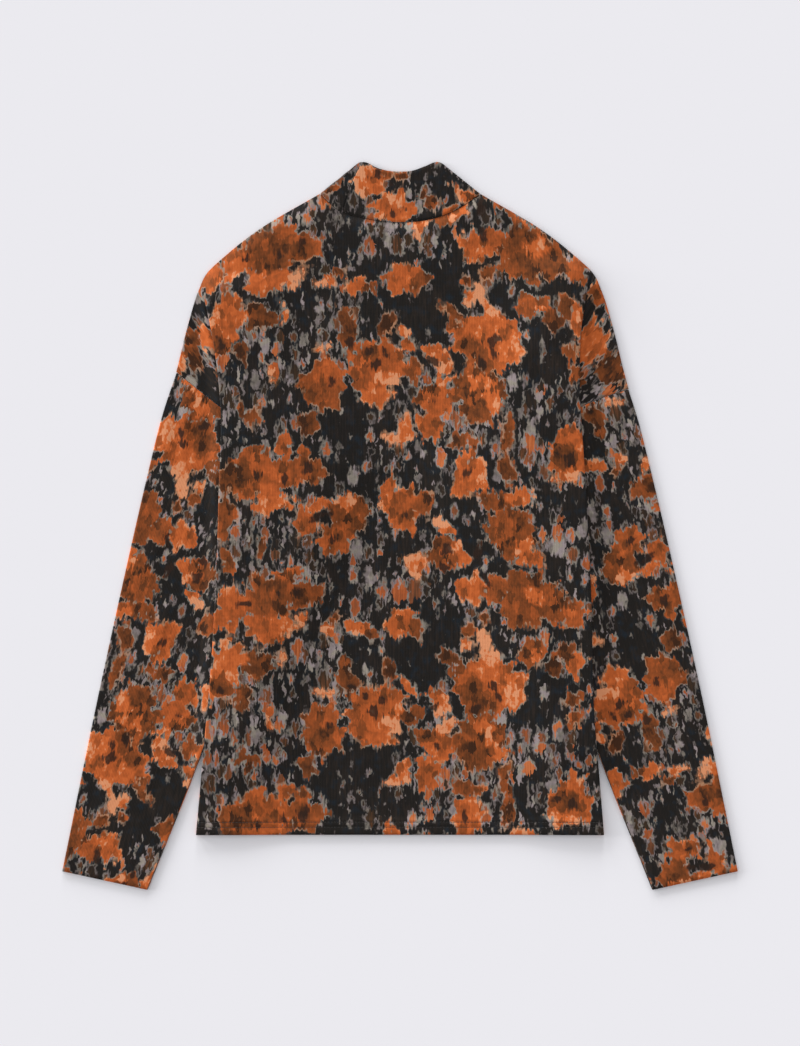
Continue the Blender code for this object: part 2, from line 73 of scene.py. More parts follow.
PETALS = (
    (-128, 585, 22, 19, 0, 0.30), (-95, 586, 18, 13, 0, 0.40), (-131, 553, 20, 14, 0, 0.70),
    (-171, 555, 6, 6, 0, 0.75), (-180, 493, 10, 11, 0, 0.30), (-117, 522, 4, 9, 0, 1.00),
    (-30, 546, 6, 6, 0, 0.30), (-105, 555, 12, 4, 40, 1.00), (-66, 560, 9, 5, 20, 0.30),
    (-73, 550, 6, 5, 0, 0.90), (-12, 511, 6, 9, 0, 0.05), (-70, 462, 12, 10, 0, 0.60),
    (-82, 440, 10, 12, 0, 0.25), (-32, 485, 12, 10, 0, 0.50), (-14, 480, 10, 14, 0, 0.60),
    (-10, 457, 10, 8, 0, 1.00), (-40, 450, 8, 8, 0, 0.40), (-24, 440, 14, 10, 0, 0.75),
    (-128, 463, 4, 7, 0, 0.80), (-75, 489, 8, 4, 0, 0.95), (18, 553, 9, 11, 0, 0.35),
    (122, 598, 16, 10, 0, 0.25), (135, 585, 12, 8, 0, 0.85), (150, 570, 18, 12, 0, 0.30),
    (134, 555, 4, 6, 0, 0.40), (86, 560, 5, 6, 0, 0.25), (67, 552, 4, 8, 0, 0.30),
    (51, 523, 11, 6, -25, 0.15), (82, 542, 7, 8, 0, 1.00), (85, 532, 5, 7, 0, 1.00),
    (68, 536, 6, 6, 0, 0.90), (138, 524, 5, 6, 0, 0.90), (165, 527, 8, 10, 0, 0.25),
    (154, 515, 8, 10, 0, 0.10), (84, 508, 16, 14, 0, 0.75), (112, 488, 14, 16, 0, 0.85),
    (70, 490, 10, 12, 0, 0.30), (80, 475, 14, 10, 0, 0.30), (93, 522, 10, 6, 0, 0.95),
    (57, 510, 7, 5, 0, 0.25), (4, 500, 4, 7, 30, 0.85), (10, 492, 8, 5, 0, 0.70),
    (41, 472, 9, 11, 0, 0.95), (46, 453, 9, 5, 35, 0.95), (57, 440, 9, 8, 0, 0.50),
    (92, 430, 12, 10, 0, 0.85), (84, 452, 12, 8, 0, 0.80), (77, 425, 14, 10, 0, 0.30),
    (-155, 362, 9, 13, 0, 0.25), (-115, 388, 7, 9, 0, 0.60), (-97, 383, 7, 8, 0, 0.50),
    (-146, 383, 12, 6, 30, 0.55), (-167, 320, 5, 7, 0, 0.30), (-55, 332, 10, 6, 0, 0.90),
    (-139, 287, 5, 9, 0, 0.15), (-159, 425, 5, 8, 0, 0.25), (-151, 415, 5, 7, 0, 0.25),
    (-142, 420, 4, 7, 0, 0.30), (-92, 412, 8, 10, 0, 0.15), (-5, 398, 10, 4, 0, 0.90),
    (38, 432, 12, 14, 0, 0.70), (5, 406, 8, 12, 0, 0.85), (60, 395, 9, 8, 0, 0.25),
    (74, 389, 8, 6, 0, 0.40), (74, 366, 9, 12, 0, 0.85), (106, 400, 6, 16, 0, 0.30),
    (107, 365, 6, 13, 0, 0.20), (165, 378, 14, 12, 0, 0.25), (175, 395, 10, 9, 0, 0.80),
    (165, 360, 12, 7, 0, 0.95), (125, 288, 10, 10, 0, 0.85), (105, 310, 8, 14, 0, 0.55),
    (24, 332, 10, 12, 0, 0.40), (40, 313, 8, 5, 35, 1.00), (58, 280, 10, 12, 0, 0.75),
    (46, 305, 8, 6, 0, 0.70), (18, 270, 10, 12, 0, 0.90), (130, 275, 12, 6, 0, 0.70),
)
# Dark hearts and holes of the flowers: across, up, half width, half height
HEARTS = (
    (-123, 581, 3, 4), (-100, 590, 3, 5), (-156, 576, 4, 4), (-178, 492, 4, 4), (-48, 490, 4, 5),
    (-69, 454, 4, 4), (-25, 468, 5, 6), (-33, 485, 4, 4), (-16, 480, 4, 5), (85, 598, 4, 8),
    (94, 493, 5, 6), (78, 471, 4, 6), (98, 480, 4, 4), (34, 473, 4, 4), (-142, 358, 4, 5),
    (-116, 358, 4, 5), (-95, 368, 5, 7), (-82, 317, 12, 4), (-68, 296, 5, 3), (34, 434, 3, 4),
    (67, 363, 3, 7), (158, 382, 4, 4), (170, 375, 5, 4), (80, 283, 4, 9), (5, 321, 4, 4),
    (49, 284, 4, 5), (43, 267, 4, 5),
)
# Where the small grey marks lie thickly or thinly: across, up, half width, half height, change
MARKS = (
    (-75, 510, 28, 38, 0.26), (-148, 455, 40, 52, 0.30), (115, 415, 90, 42, 0.28),
    (-130, 290, 62, 42, 0.28), (-47, 375, 12, 18, 0.26), (-17, 375, 16, 18, 0.20),
    (15, 592, 48, 20, 0.28), (145, 440, 22, 14, 0.30), (158, 295, 18, 16, 0.25),
    (15, 530, 34, 34, -0.32), (150, 455, 32, 34, -0.26), (-45, 410, 28, 42, -0.24),
    (20, 520, 28, 16, -0.20),
)
MARKS_PLAIN = 0.09               # how thickly they lie elsewhere
# The edge of an oval swells in two slow waves and in petals
EDGE_WAVES = ((2, 0.09), (3, 0.07))  # how many go round it, and how far as a share of it
PETAL_WIDTH = 5.2                # petals round a flower: its half sizes together, over this
PETAL_NOTCH = 8.0                # how far their points stand out, at most
PETAL_NOTCH_SHARE = 0.34         # and at most as a share of the flower's lesser half size
PETAL_MEAN = 0.64                # what keeps the flower's size: the mean height of a petal's arch

# The colours ran as the cloth was printed: width and height of each unevenness that this left
UNEVEN = {
    "streak": (2.4, 17.0),       # threads of colour along the knit
    "lobe": (9.0, 10.0),         # swellings of an edge
    "jag": (3.6, 5.5),           # and its small points
    "cloud": (34.0, 46.0),       # wide paler and darker areas
    "feather": (2.3, 22.0),      # points drawn out at the tops and bottoms of shapes
}
REACH = (("lobe", 13.0), ("jag", 5.5), ("streak", 3.0))  # how far they move an edge, in and out
FLOWER_FEATHER = 10.0            # how far the feathering draws the edges of flowers
MARK_FEATHER = 12.0              # and the small marks
MARK_SWAY = (7.0, 9.0, 0.0)      # how far the marks stray, across and up, out of a plain order
SWAY_SCALE = 0.13                # and how often in a millimetre this changes
BRUSH = (9.0, 12.5)              # width and height of a brush mark in a flower
# The small grey marks, in three sizes of cell: the width and height of a cell, how far the
# least and the largest of its marks reach, and the share that have a coloured middle
MARK_CELLS = (
    ((14.5, 24.0), -0.46, 0.56, 0.88), ((9.5, 17.0), -0.64, 0.46, 0.75),
    ((4.6, 20.0), -0.84, 0.26, 0.0),
)
# Where the blur of each printed edge starts and ends, in mm inside the drawn edge; for the
# small marks, their middles and the brush marks, in shares of a cell
BLURS = {
    "flower": (-1.0, 0.6), "petal": (-0.9, 0.7), "heart": (-1.6, 1.2), "line": (-3.0, -1.2),
    "mark": (-0.13, 0.13), "middle": (0.10, 0.24), "brush": (0.56, 0.40),
}
# Real wales and courses lie 0.7 and 0.5 mm apart, too fine to show: they are drawn coarser
WALE = 1.6
COURSE = 1.3
KNIT_DEPTH = 0.08                # the fuzz hides most of their depth
# Matte, with a faint sheen from the nap
JERSEY_FINISH = {
    "Roughness": 0.9, "Specular IOR Level": 0.12, "Sheen Weight": 0.05, "Sheen Roughness": 0.5,
}

# Colours: the black ground and where it is cooler or worn, the grey marks, the line round the
# flowers, the middles of marks, the hearts of flowers, and their tones

GROUND = "1b1816"
GROUND_COOL = "192027"
GROUND_WORN = "2a221d"
MARK_GREY = "57504b"
MARK_PALE = "948b80"
MARK_MAUVE = "948788"
LINE_PEACH = "b98766"
CORES = ((0.0, "1f1c1b"), (0.3, "3a2a1c"), (0.55, "6e422a"), (0.8, "9c4f29"), (1.0, "b9683c"))
HEART = "2a1c15"
REVERSE = "5d5450"               # the back of the knit, where little of the print comes through
TONES = (
    (0.0, "3a2112"), (0.25, "66371a"), (0.5, "8a4620"), (0.75, "ae5527"), (0.92, "c2622f"),
    (1.0, "d08a62"),
)


def linear(colour):
    """An sRGB hex colour as linear red, green, blue and alpha."""
    parts = [int(colour[i:i + 2], 16) / 255 for i in (0, 2, 4)]
    return (*[p / 12.92 if p < 0.04045 else ((p + 0.055) / 1.055) ** 2.4 for p in parts], 1.0)


def add(tree, kind, links=(), **settings):
    """Adds a node with its settings; links fills its inputs, by name or in order."""
    made = tree.nodes.new("ShaderNode" + kind)
    for name, value in settings.items():
        setattr(made, name, value)
    shown = [socket for socket in made.inputs if socket.enabled]
    pairs = links.items() if isinstance(links, dict) else enumerate(links)
    for place, value in pairs:
        if isinstance(place, str):
            socket = next(found for found in shown if found.name == place)
        else:
            socket = shown[place]
        if isinstance(value, bpy.types.Node):
            value = next(output for output in value.outputs if output.enabled)
        if isinstance(value, bpy.types.NodeSocket):
            tree.links.new(value, socket)
        else:
            socket.default_value = value
    return made


def new_material(name, finish):
    """A material, its node tree and its shader; finish fills the shader's own sockets."""
    material = bpy.data.materials.new(name)
    material.use_nodes = True
    shader = material.node_tree.nodes["Principled BSDF"]
    for label, value in finish.items():
        shader.inputs[label].default_value = value
    return material, material.node_tree, shader


SOFT = {"interpolation_type": "SMOOTHSTEP"}


def blurred(value, edge, most=1.0):
    """What a map range takes to ramp a value over one of the print's blurred edges."""
    low, high = BLURS[edge]
    return {"Value": value, "From Min": low, "From Max": high, "To Max": most}


def fill_ramp(ramp, stops):
    """Gives a colour ramp its stops, the first and last of which are its ends."""
    for end, (_, colour) in zip(ramp.elements, (stops[0], stops[-1])):
        end.color = linear(colour)
    for at, colour in stops[1:-1]:
        ramp.elements.new(at).color = linear(colour)


def wrapped(distance, step):
    return (distance + step / 2) % step - step / 2


def oval_depth(places, row):
    """How far places lie inside the wavy edge of an oval, in mm; negative outside."""
    across, up, wide, high, lean = row[:5]
    x = wrapped(places[:, 0] - across, REPEAT[0])
    y = wrapped(places[:, 1] - up, REPEAT[1])
    turn = radians(lean)
    a = (x * cos(turn) + y * sin(turn)) / wide
    b = (y * cos(turn) - x * sin(turn)) / high
    angle = np.arctan2(b, a)
    least = min(wide, high)
    petals = max(4, round((wide + high) / PETAL_WIDTH))
    edge = 1.0
    for (waves, swing), start in zip(EDGE_WAVES, (across, up)):
        edge = edge + swing * np.sin(waves * angle + start)
    arch = PETAL_MEAN - np.abs(np.sin(petals * angle / 2 + up))
    edge += min(PETAL_NOTCH_SHARE, PETAL_NOTCH / least) * arch
    return (edge - np.hypot(a, b)) * least


def deepest(places, rows):
    """Greatest depth in any of the ovals, and the tone of the one painted last there."""
    depth = np.full(len(places), -1e3)       # far outside
    tone = np.full(len(places), 0.4)
    for row in rows:
        found = oval_depth(places, row)
        over = found > np.minimum(depth, 0.0)
        tone[over] = row[5]
        depth = np.maximum(depth, found)
    return depth, tone


def print_fields(places, flowers=FLOWERS, petals=PETALS, hearts=HEARTS):
    """What the print holds at each place of the cloth, for the material to read."""
    x, y = places[:, 0], places[:, 1]
    # uneven waves a few millimetres high, so that nothing keeps the shape of a drawn oval
    drift = np.stack((
        2.2 * np.sin(y / 8.5 + 1.7 * np.sin(x / 13)) + 1.2 * np.sin(x / 5.5 + y / 9),
        2.4 * np.sin(x / 7.5 + 1.9 * np.sin(y / 12)) + 1.4 * np.sin(y / 6.1 - x / 8),
    ), axis=1)
    places = places + drift
    flower, tone = deepest(places, flowers)
    petal, petal_tone = deepest(places, petals)
    heart, _ = deepest(places, [(*row, 0.0, 0.0) for row in hearts])
    step = np.array((0.0, 1.0))
    above, below = (
        np.maximum(deepest(found, flowers)[0], deepest(found, petals)[0])
        for found in (places + step, places - step)
    )
    # each zone is full to 0.6 of its half sizes, and fades out by 1.6 of them
    marks = np.full(len(places), MARKS_PLAIN)
    for across, up, wide, high, change in MARKS:
        a = wrapped(places[:, 0] - across, REPEAT[0]) / wide
        b = wrapped(places[:, 1] - up, REPEAT[1]) / high
        marks += change * np.clip(1.6 - np.hypot(a, b), 0.0, 1.0)
    return {
        "flower": flower, "flower_tone": tone, "petal": petal, "petal_tone": petal_tone,
        "heart": heart, "marks": marks, "slope": np.abs(above - below) / 2,
    }


FIELDS = ("flower", "flower_tone", "petal", "petal_tone", "heart", "marks", "slope")


def printed_jersey(name, paleness):
    """Single jersey: matte, softly napped, its print blurred along the knit.

    paleness is how far the print is lost, 0 on the right side of the cloth.
    """
    material, tree, shader = new_material(name, JERSEY_FINISH)
    cut = add(tree, "UVMap", uv_map="print")
    place = add(tree, "VectorMath", (cut, 1 / MM), operation="SCALE")
    field = {}
    for label in FIELDS:
        field[label] = add(tree, "Attribute", attribute_name=label).outputs["Fac"]
    noise = {}
    for label, size in UNEVEN.items():
        scaled = add(tree, "VectorMath", (place, (*size, 1.0)), operation="DIVIDE")
        noise[label] = add(
            tree, "TexNoise", {"Vector": scaled, "Scale": 1.0, "Detail": 1.5}, noise_dimensions="2D",
        ).outputs[0]

    # how far the colours ran past the drawn edges, in mm; less on petals and in hearts
    ran = -sum(reach for _, reach in REACH) / 2
    for label, reach in REACH:
        ran = add(tree, "Math", (noise[label], reach, ran), operation="MULTIPLY_ADD")
    feather = add(tree, "Math", (noise["feather"], 0.5), operation="SUBTRACT")
    drawn = add(tree, "Math", (feather, field["slope"]), operation="MULTIPLY")
    ran = add(tree, "Math", (drawn, FLOWER_FEATHER, ran), operation="MULTIPLY_ADD")
    flower = add(tree, "Math", (field["flower"], ran), operation="ADD")
    petal = add(tree, "Math", (ran, 0.8, field["petal"]), operation="MULTIPLY_ADD")
    heart = add(tree, "Math", (ran, 0.5, field["heart"]), operation="MULTIPLY_ADD")
    either = add(tree, "Math", (flower, petal), operation="MAXIMUM")

    # the black ground, faintly streaked and clouded
    worn = add(tree, "Math", (noise["cloud"], 0.8, noise["streak"]), operation="MULTIPLY_ADD")
    worn = add(tree, "MapRange", {"Value": worn, "From Min": 0.85, "From Max": 1.35})
    cool = add(tree, "MapRange", {"Value": noise["lobe"], "From Min": 0.5, "From Max": 0.8})
    colour = add(tree, "Mix", (cool, linear(GROUND), linear(GROUND_COOL)), data_type="RGBA")
    colour = add(tree, "Mix", (worn, colour, linear(GROUND_WORN)), data_type="RGBA")

    # small grey marks, many with a dark, rust or orange middle
    sway = add(
        tree, "TexNoise", {"Vector": place, "Scale": SWAY_SCALE, "Detail": 2.0}, noise_dimensions="2D",
    ).outputs["Color"]
    sway = add(tree, "VectorMath", (sway, (0.5, 0.5, 0.5)), operation="SUBTRACT")
    moved = add(tree, "VectorMath", (sway, MARK_SWAY, place), operation="MULTIPLY_ADD")
    drawn = add(tree, "Math", (feather, MARK_FEATHER), operation="MULTIPLY")
    drawn = add(tree, "CombineXYZ", {"Y": drawn})
    moved = add(tree, "VectorMath", (moved, drawn), operation="ADD")
    tinge = add(tree, "MapRange", {"Value": noise["lobe"], "From Min": 0.42, "From Max": 0.58})
    pale = add(tree, "Mix", (tinge, linear(MARK_MAUVE), linear(MARK_PALE)), data_type="RGBA")
    for size, least, most, cored in MARK_CELLS:
        scaled = add(tree, "VectorMath", (moved, (*size, 1.0)), operation="DIVIDE")
        cells = add(tree, "TexVoronoi", {"Vector": scaled, "Scale": 1.0}, voronoi_dimensions="2D")
        parts = add(tree, "SeparateColor", (cells.outputs["Color"],))
        reach = add(tree, "MapRange", {"Value": parts, "To Min": least, "To Max": most})
        # a mark ends this far from the middle of its cell, and further where its edge juts
        inside = add(tree, "Math", (reach, field["marks"]), operation="ADD")
        for value, change in ((cells.outputs["Distance"], -1.4), (noise["jag"], 0.35)):
            inside = add(tree, "Math", (value, change, inside), operation="MULTIPLY_ADD")
        inside = add(tree, "Math", (inside, 0.17), operation="SUBTRACT")
        strength = add(
            tree, "MapRange", {"Value": parts.outputs["Green"], "To Min": 0.6, "To Max": 1.0},
        )
        mark = add(tree, "MapRange", blurred(inside, "mark", strength.outputs[0]), **SOFT)
        shade = add(
            tree, "Math", (noise["jag"], 0.9, parts.outputs["Blue"]), operation="MULTIPLY_ADD",
        )
        shade = add(tree, "MapRange", {"Value": shade, "From Min": 0.2, "From Max": 1.25})
        greys = add(tree, "Mix", (shade, linear(MARK_GREY), pale), data_type="RGBA")
        colour = add(tree, "Mix", (mark, colour, greys), data_type="RGBA")
        if not cored:
            continue
        middle = add(tree, "MapRange", blurred(inside, "middle"), **SOFT)
        chance = add(tree, "Math", (parts.outputs["Green"], cored), operation="LESS_THAN")
        middle = add(tree, "Math", (middle, chance), operation="MULTIPLY")
        tint = add(tree, "Math", (feather, 0.6, parts.outputs["Blue"]), operation="MULTIPLY_ADD")
        core = add(tree, "ValToRGB", (tint,))
        fill_ramp(core.color_ramp, CORES)
        colour = add(tree, "Mix", (middle, colour, core), data_type="RGBA")

    # a thin grey or peach line round parts of the flowers
    patchy = add(
        tree, "MapRange",
        {"Value": noise["lobe"], "From Min": 0.40, "From Max": 0.60, "To Min": 0.75, "To Max": 0.12},
    )
    line = add(tree, "MapRange", blurred(either, "line", patchy.outputs[0]), **SOFT)
    tint = add(tree, "MapRange", {"Value": noise["cloud"], "From Min": 0.4, "From Max": 0.62})
    tint = add(tree, "Mix", (tint, linear(MARK_PALE), linear(LINE_PEACH)), data_type="RGBA")
    colour = add(tree, "Mix", (line, colour, tint), data_type="RGBA")

    # the flowers, in brush marks from brown to peach, lighter at their edges
    scaled = add(tree, "VectorMath", (moved, (*BRUSH, 1.0)), operation="DIVIDE")
    strokes = add(tree, "TexVoronoi", {"Vector": scaled, "Scale": 1.0}, voronoi_dimensions="2D")
    stroke = add(tree, "SeparateColor", (strokes.outputs["Color"],))
    stroke = add(tree, "Math", (stroke, 0.62), operation="SUBTRACT")
    stroke_in = add(tree, "MapRange", blurred(strokes.outputs["Distance"], "brush"), **SOFT)
    stroke = add(tree, "Math", (stroke, stroke_in), operation="MULTIPLY")
    on_petal = add(tree, "MapRange", blurred(petal, "petal"), **SOFT)
    tone = add(
        tree, "Mix", (on_petal, field["flower_tone"], field["petal_tone"]), data_type="FLOAT",
    )
    for value, change in (
        (stroke, 0.62), (noise["jag"], 0.35), (noise["lobe"], 0.4), (feather, 0.12),
    ):
        tone = add(tree, "Math", (value, change, tone), operation="MULTIPLY_ADD")
    lit = add(
        tree, "MapRange",
        {"Value": either, "From Min": 0.4, "From Max": 2.6, "To Min": 0.14, "To Max": 0.0},
    )
    tone = add(tree, "Math", (tone, lit), operation="ADD")
    tone = add(tree, "Math", (tone, 0.37), operation="SUBTRACT")  # half of what jag and lobe add
    tones = add(tree, "ValToRGB", (tone,))
    fill_ramp(tones.color_ramp, TONES)
    on_flower = add(tree, "MapRange", blurred(either, "flower"), **SOFT)
    colour = add(tree, "Mix", (on_flower, colour, tones), data_type="RGBA")
    on_heart = add(tree, "MapRange", blurred(heart, "heart", 0.92), **SOFT)
    colour = add(tree, "Mix", (on_heart, colour, linear(HEART)), data_type="RGBA")
    if paleness:
        colour = add(tree, "Mix", (paleness, colour, linear(REVERSE)), data_type="RGBA")
    tree.links.new(colour.outputs[2], shader.inputs["Base Color"])

    # the knit: wales, courses and a light fuzz
    along = add(tree, "SeparateXYZ", (place,))
    waves = []
    for axis, spacing in enumerate((WALE, COURSE)):
        wave = add(tree, "Math", (along.outputs[axis], 2 * pi / spacing), operation="MULTIPLY")
        waves.append(add(tree, "Math", (wave,), operation="SINE"))
    knit = add(tree, "Math", (waves[1], 0.5, waves[0]), operation="MULTIPLY_ADD")
    knit = add(tree, "Math", (noise["jag"], 2.5, knit), operation="MULTIPLY_ADD")
    bump = add(tree, "Bump", {"Strength": 0.35, "Distance": KNIT_DEPTH * MM, "Height": knit})
    tree.links.new(bump.outputs[0], shader.inputs["Normal"])
    return material


RIGHT_SIDE = printed_jersey("printed_jersey", 0.0)
WRONG_SIDE = printed_jersey("jersey_reverse", 0.72)


# ==== The back panel ============================================================================
# The outer back of the top, with its half of both dropped shoulders, cut in one. Swinging the
# sleeves down tucks it: it turns under along the body's edge, runs in, and turns out again.
CLOTH = 1.0                      # wall of the jersey
GAP = 0.3                        # between sewn pieces, and between layers that lie together
PITCH = CLOTH + GAP              # from the middle of one layer to the next
FOLD = PITCH / 2                 # radius of a fold, at the middle of the cloth
FOLD_EDGE = FOLD + CLOTH / 2     # radius of a fold's outer face
RIM = 0.3                        # how far a cut edge is rounded
CENTRE_UP = 309.05               # height above the hem that lies at the world's centre
SMOOTH_BELOW = 50.0              # faces that meet at less than this angle are shaded as one
UNDERARM = (100.0, 368.0)        # hidden point where sleeve, tuck and side seam meet (out, up)
NECK_CORNER = (80.5, 641.0)      # where shoulder, neckline and collar meet
HEM_DEPTH = 15.0                 # of the turned-up hem
HEM_STEP = 1.5                   # length of the step at its top
HEM_RISE = 0.4                   # how far the hem's second layer raises the outer face
HEM_GROOVE = 0.3                 # depth of the grooves that the two needles pull
STITCH_ROWS = (12.8, 7.7)        # heights of the two rows

# Right and left outline alike, from the collar's corner down to the cuff: up, out
OUTLINE = (
    (641.0, 80.5), (604.9, 141.7), (579.4, 174.3), (561.1, 193.5), (544.3, 201.4),
    (510.9, 211.8), (463.0, 223.8), (413.6, 238.1), (354.9, 252.8), (160.0, 297.5),
    (-36.4, 338.0),
)
# Inner edge of a sleeve, from the hidden underarm to the cuff: up, out
SLEEVE_INNER = ((368.0, 100.0), (227.0, 148.4), (85.6, 196.5), (-54.9, 252.2))
# Side seam inside the tuck, from the underarm to the hem: up, out
SIDE_SEAM = ((368.0, 100.0), (340.0, 103.5), (227.0, 140.0), (85.0, 184.0), (0.0, 196.0))
# Back neckline: across, up
NECK_BACK = (
    (-80.5, 641.0), (-64.2, 626.4), (-36.0, 616.7), (0.0, 612.6), (36.0, 617.0),
    (60.0, 627.0), (80.5, 641.0),
)
# Each side's visible edge of the body (up, out), the height where its tuck starts, and the
# armhole seam from the underarm to the outline (out, up)
SIDES = {
    "left": {
        "sign": -1,
        "apex": 543.0,
        "edge": (
            (543.0, 197.0), (496.0, 187.1), (428.0, 179.3), (345.0, 181.0), (253.0, 184.0),
            (144.0, 190.7), (85.0, 196.3), (0.0, 204.0),
        ),
        "armhole": ((100.0, 368.0), (179.4, 428.0), (223.8, 463.0)),
    },
    "right": {
        "sign": 1,
        "apex": 560.3,
        "edge": (
            (560.3, 189.7), (509.0, 181.5), (454.0, 179.5), (367.0, 184.3), (254.0, 190.4),
            (103.0, 195.2), (69.0, 198.3), (0.0, 204.0),
        ),
        "armhole": ((100.0, 368.0), (186.0, 431.0), (228.7, 446.0)),
    },
}
# Below the apex, the cloth turns further with each row until it lies folded: below, turn
TUCK_START = ((0.0, 0.0), (5.0, 45.0), (10.0, 90.0), (15.0, 135.0), (21.0, 180.0))
SHORT_RUN = 0.5                  # cloth between the two turns while the tuck fades in
RUN_KNEE = 0.8                   # share of a run at which it has its last point before its end
SETTLE = 12.0                    # width over which a sleeve comes down beside the body
SETTLE_MOST = 0.6                # and the most of the room there that this may take
EDGE_CLEAR = 1.5                 # how far outside the body's edge it starts to come down
DRAPE = 80.0                     # width over which the back comes down inside the tucks
DRAPE_MARGIN = 12.0              # and how far inside them it starts to
TUCK_SLANT = (1.3, 18.0)         # rows of the back climb inward by this slope, up to this much
SLEEVE_OUT = (84.0, 40.0)        # heights between which the body thins below the sleeve
SEAM_CLOSE = (340.0, 310.0)      # heights between which the side seam's edges come together
SEAM_BEND = 1.5                  # how far inside the sleeve they bend together
SEAM_BEND_LEAST = 0.4            # share of the run that stays flat before that bend
SEAM_STEP = 0.5                  # and the least length left for it
PANEL_BULGE_FADE = 2             # how fast the armhole's curve fades up a shoulder's rows
INSIDE_LEAST = 0.1               # least share of a row that its hidden columns take

# How finely the panels are divided
START_ROWS = 8
SHOULDER_STEPS = 34
NECK_STEPS = 52
ROW_STEP = 3.2
ARC_STEPS = 6
RUN_STEPS = 4
SHOULDER_ACROSS = (4, 8, 14)     # steps inside the body's edge, beside it, and to the outline
# Across the hem: heights of its rows of points, and how far each lies under its outer face
HEM_ROWS = (
    (HEM_DEPTH + HEM_STEP, 0.0), (HEM_DEPTH, 0.0), (13.9, 0.0), (STITCH_ROWS[0], HEM_GROOVE),
    (11.7, 0.0), (10.2, 0.0), (8.8, 0.0), (STITCH_ROWS[1], HEM_GROOVE), (6.6, 0.0), (4.4, 0.0),
    (2.0, 0.0), (0.6, 0.15), (0.0, HEM_RISE),
)
# Ridges that both panels share, and the back's own: both ends (across, up), height, half width
BODY_CREASES = (
    (-60, 480, -20, 330, 0.5, 17), (35, 400, 70, 230, 0.55, 19), (-75, 210, -30, 60, 0.5, 18),
    (10, 590, 40, 500, 0.35, 14), (-20, 260, 15, 130, 0.35, 15),
)
BACK_CREASES = (
    (-84, 628, -128, 540, 0.5, 9), (84, 628, 124, 548, 0.45, 8), (-66, 618, -82, 560, 0.4, 7),
    (62, 620, 74, 566, 0.35, 7), (-160, 520, -110, 470, 0.4, 11), (158, 512, 104, 452, 0.5, 12),
    (-150, 410, -96, 380, 0.35, 10), (150, 380, 98, 350, 0.4, 11), (-150, 250, -120, 120, 0.4, 13),
    (156, 240, 128, 90, 0.4, 13), (-166, 330, -150, 230, 0.35, 8), (150, 470, 162, 380, 0.3, 8),
)
# What lies under the cloth beside a seam: its width, the width over which it ends, its height
SEAM_ALLOWANCE = (6.0, 2.0, 0.35)


def mix(a, b, share):
    return a + (b - a) * share


def mix_points(a, b, share):
    return tuple(mix(p, q, share) for p, q in zip(a, b))


def ease(share):
    """0 to 1 with a level start and end."""
    share = min(1.0, max(0.0, share))
    return share * share * (3 - 2 * share)


def level(layer):
    """Height of the middle of a layer of cloth; layer 0 lies on the floor."""
    return CLOTH / 2 + layer * PITCH


def mirror(point, a, b):
    """A plan point folded over the line from a to b."""
    dx, dy = b[0] - a[0], b[1] - a[1]
    along = ((point[0] - a[0]) * dx + (point[1] - a[1]) * dy) / (dx * dx + dy * dy)
    return 2 * (a[0] + along * dx) - point[0], 2 * (a[1] + along * dy) - point[1]


def creases(table, across, up):
    """Height of soft ridges, each dying away along its ends and to both sides.

    Columns of the table: across and up of both ends, height, half width.
    """
    total = 0.0
    for x1, y1, x2, y2, high, half in table:
        dx, dy = x2 - x1, y2 - y1
        length = hypot(dx, dy)
        along = ((across - x1) * dx + (up - y1) * dy) / length ** 2
        aside = abs((across - x1) * dy - (up - y1) * dx) / length / half
        if 0 < along < 1 and aside < 1:
            total += high * sin(pi * along) * cos(pi * aside / 2) ** 2
    return total


def put(name, data):
    """Puts an object made of a mesh, a lamp or a camera into the scene."""
    made = bpy.data.objects.new(name, data)
    bpy.context.scene.collection.objects.link(made)
    return made


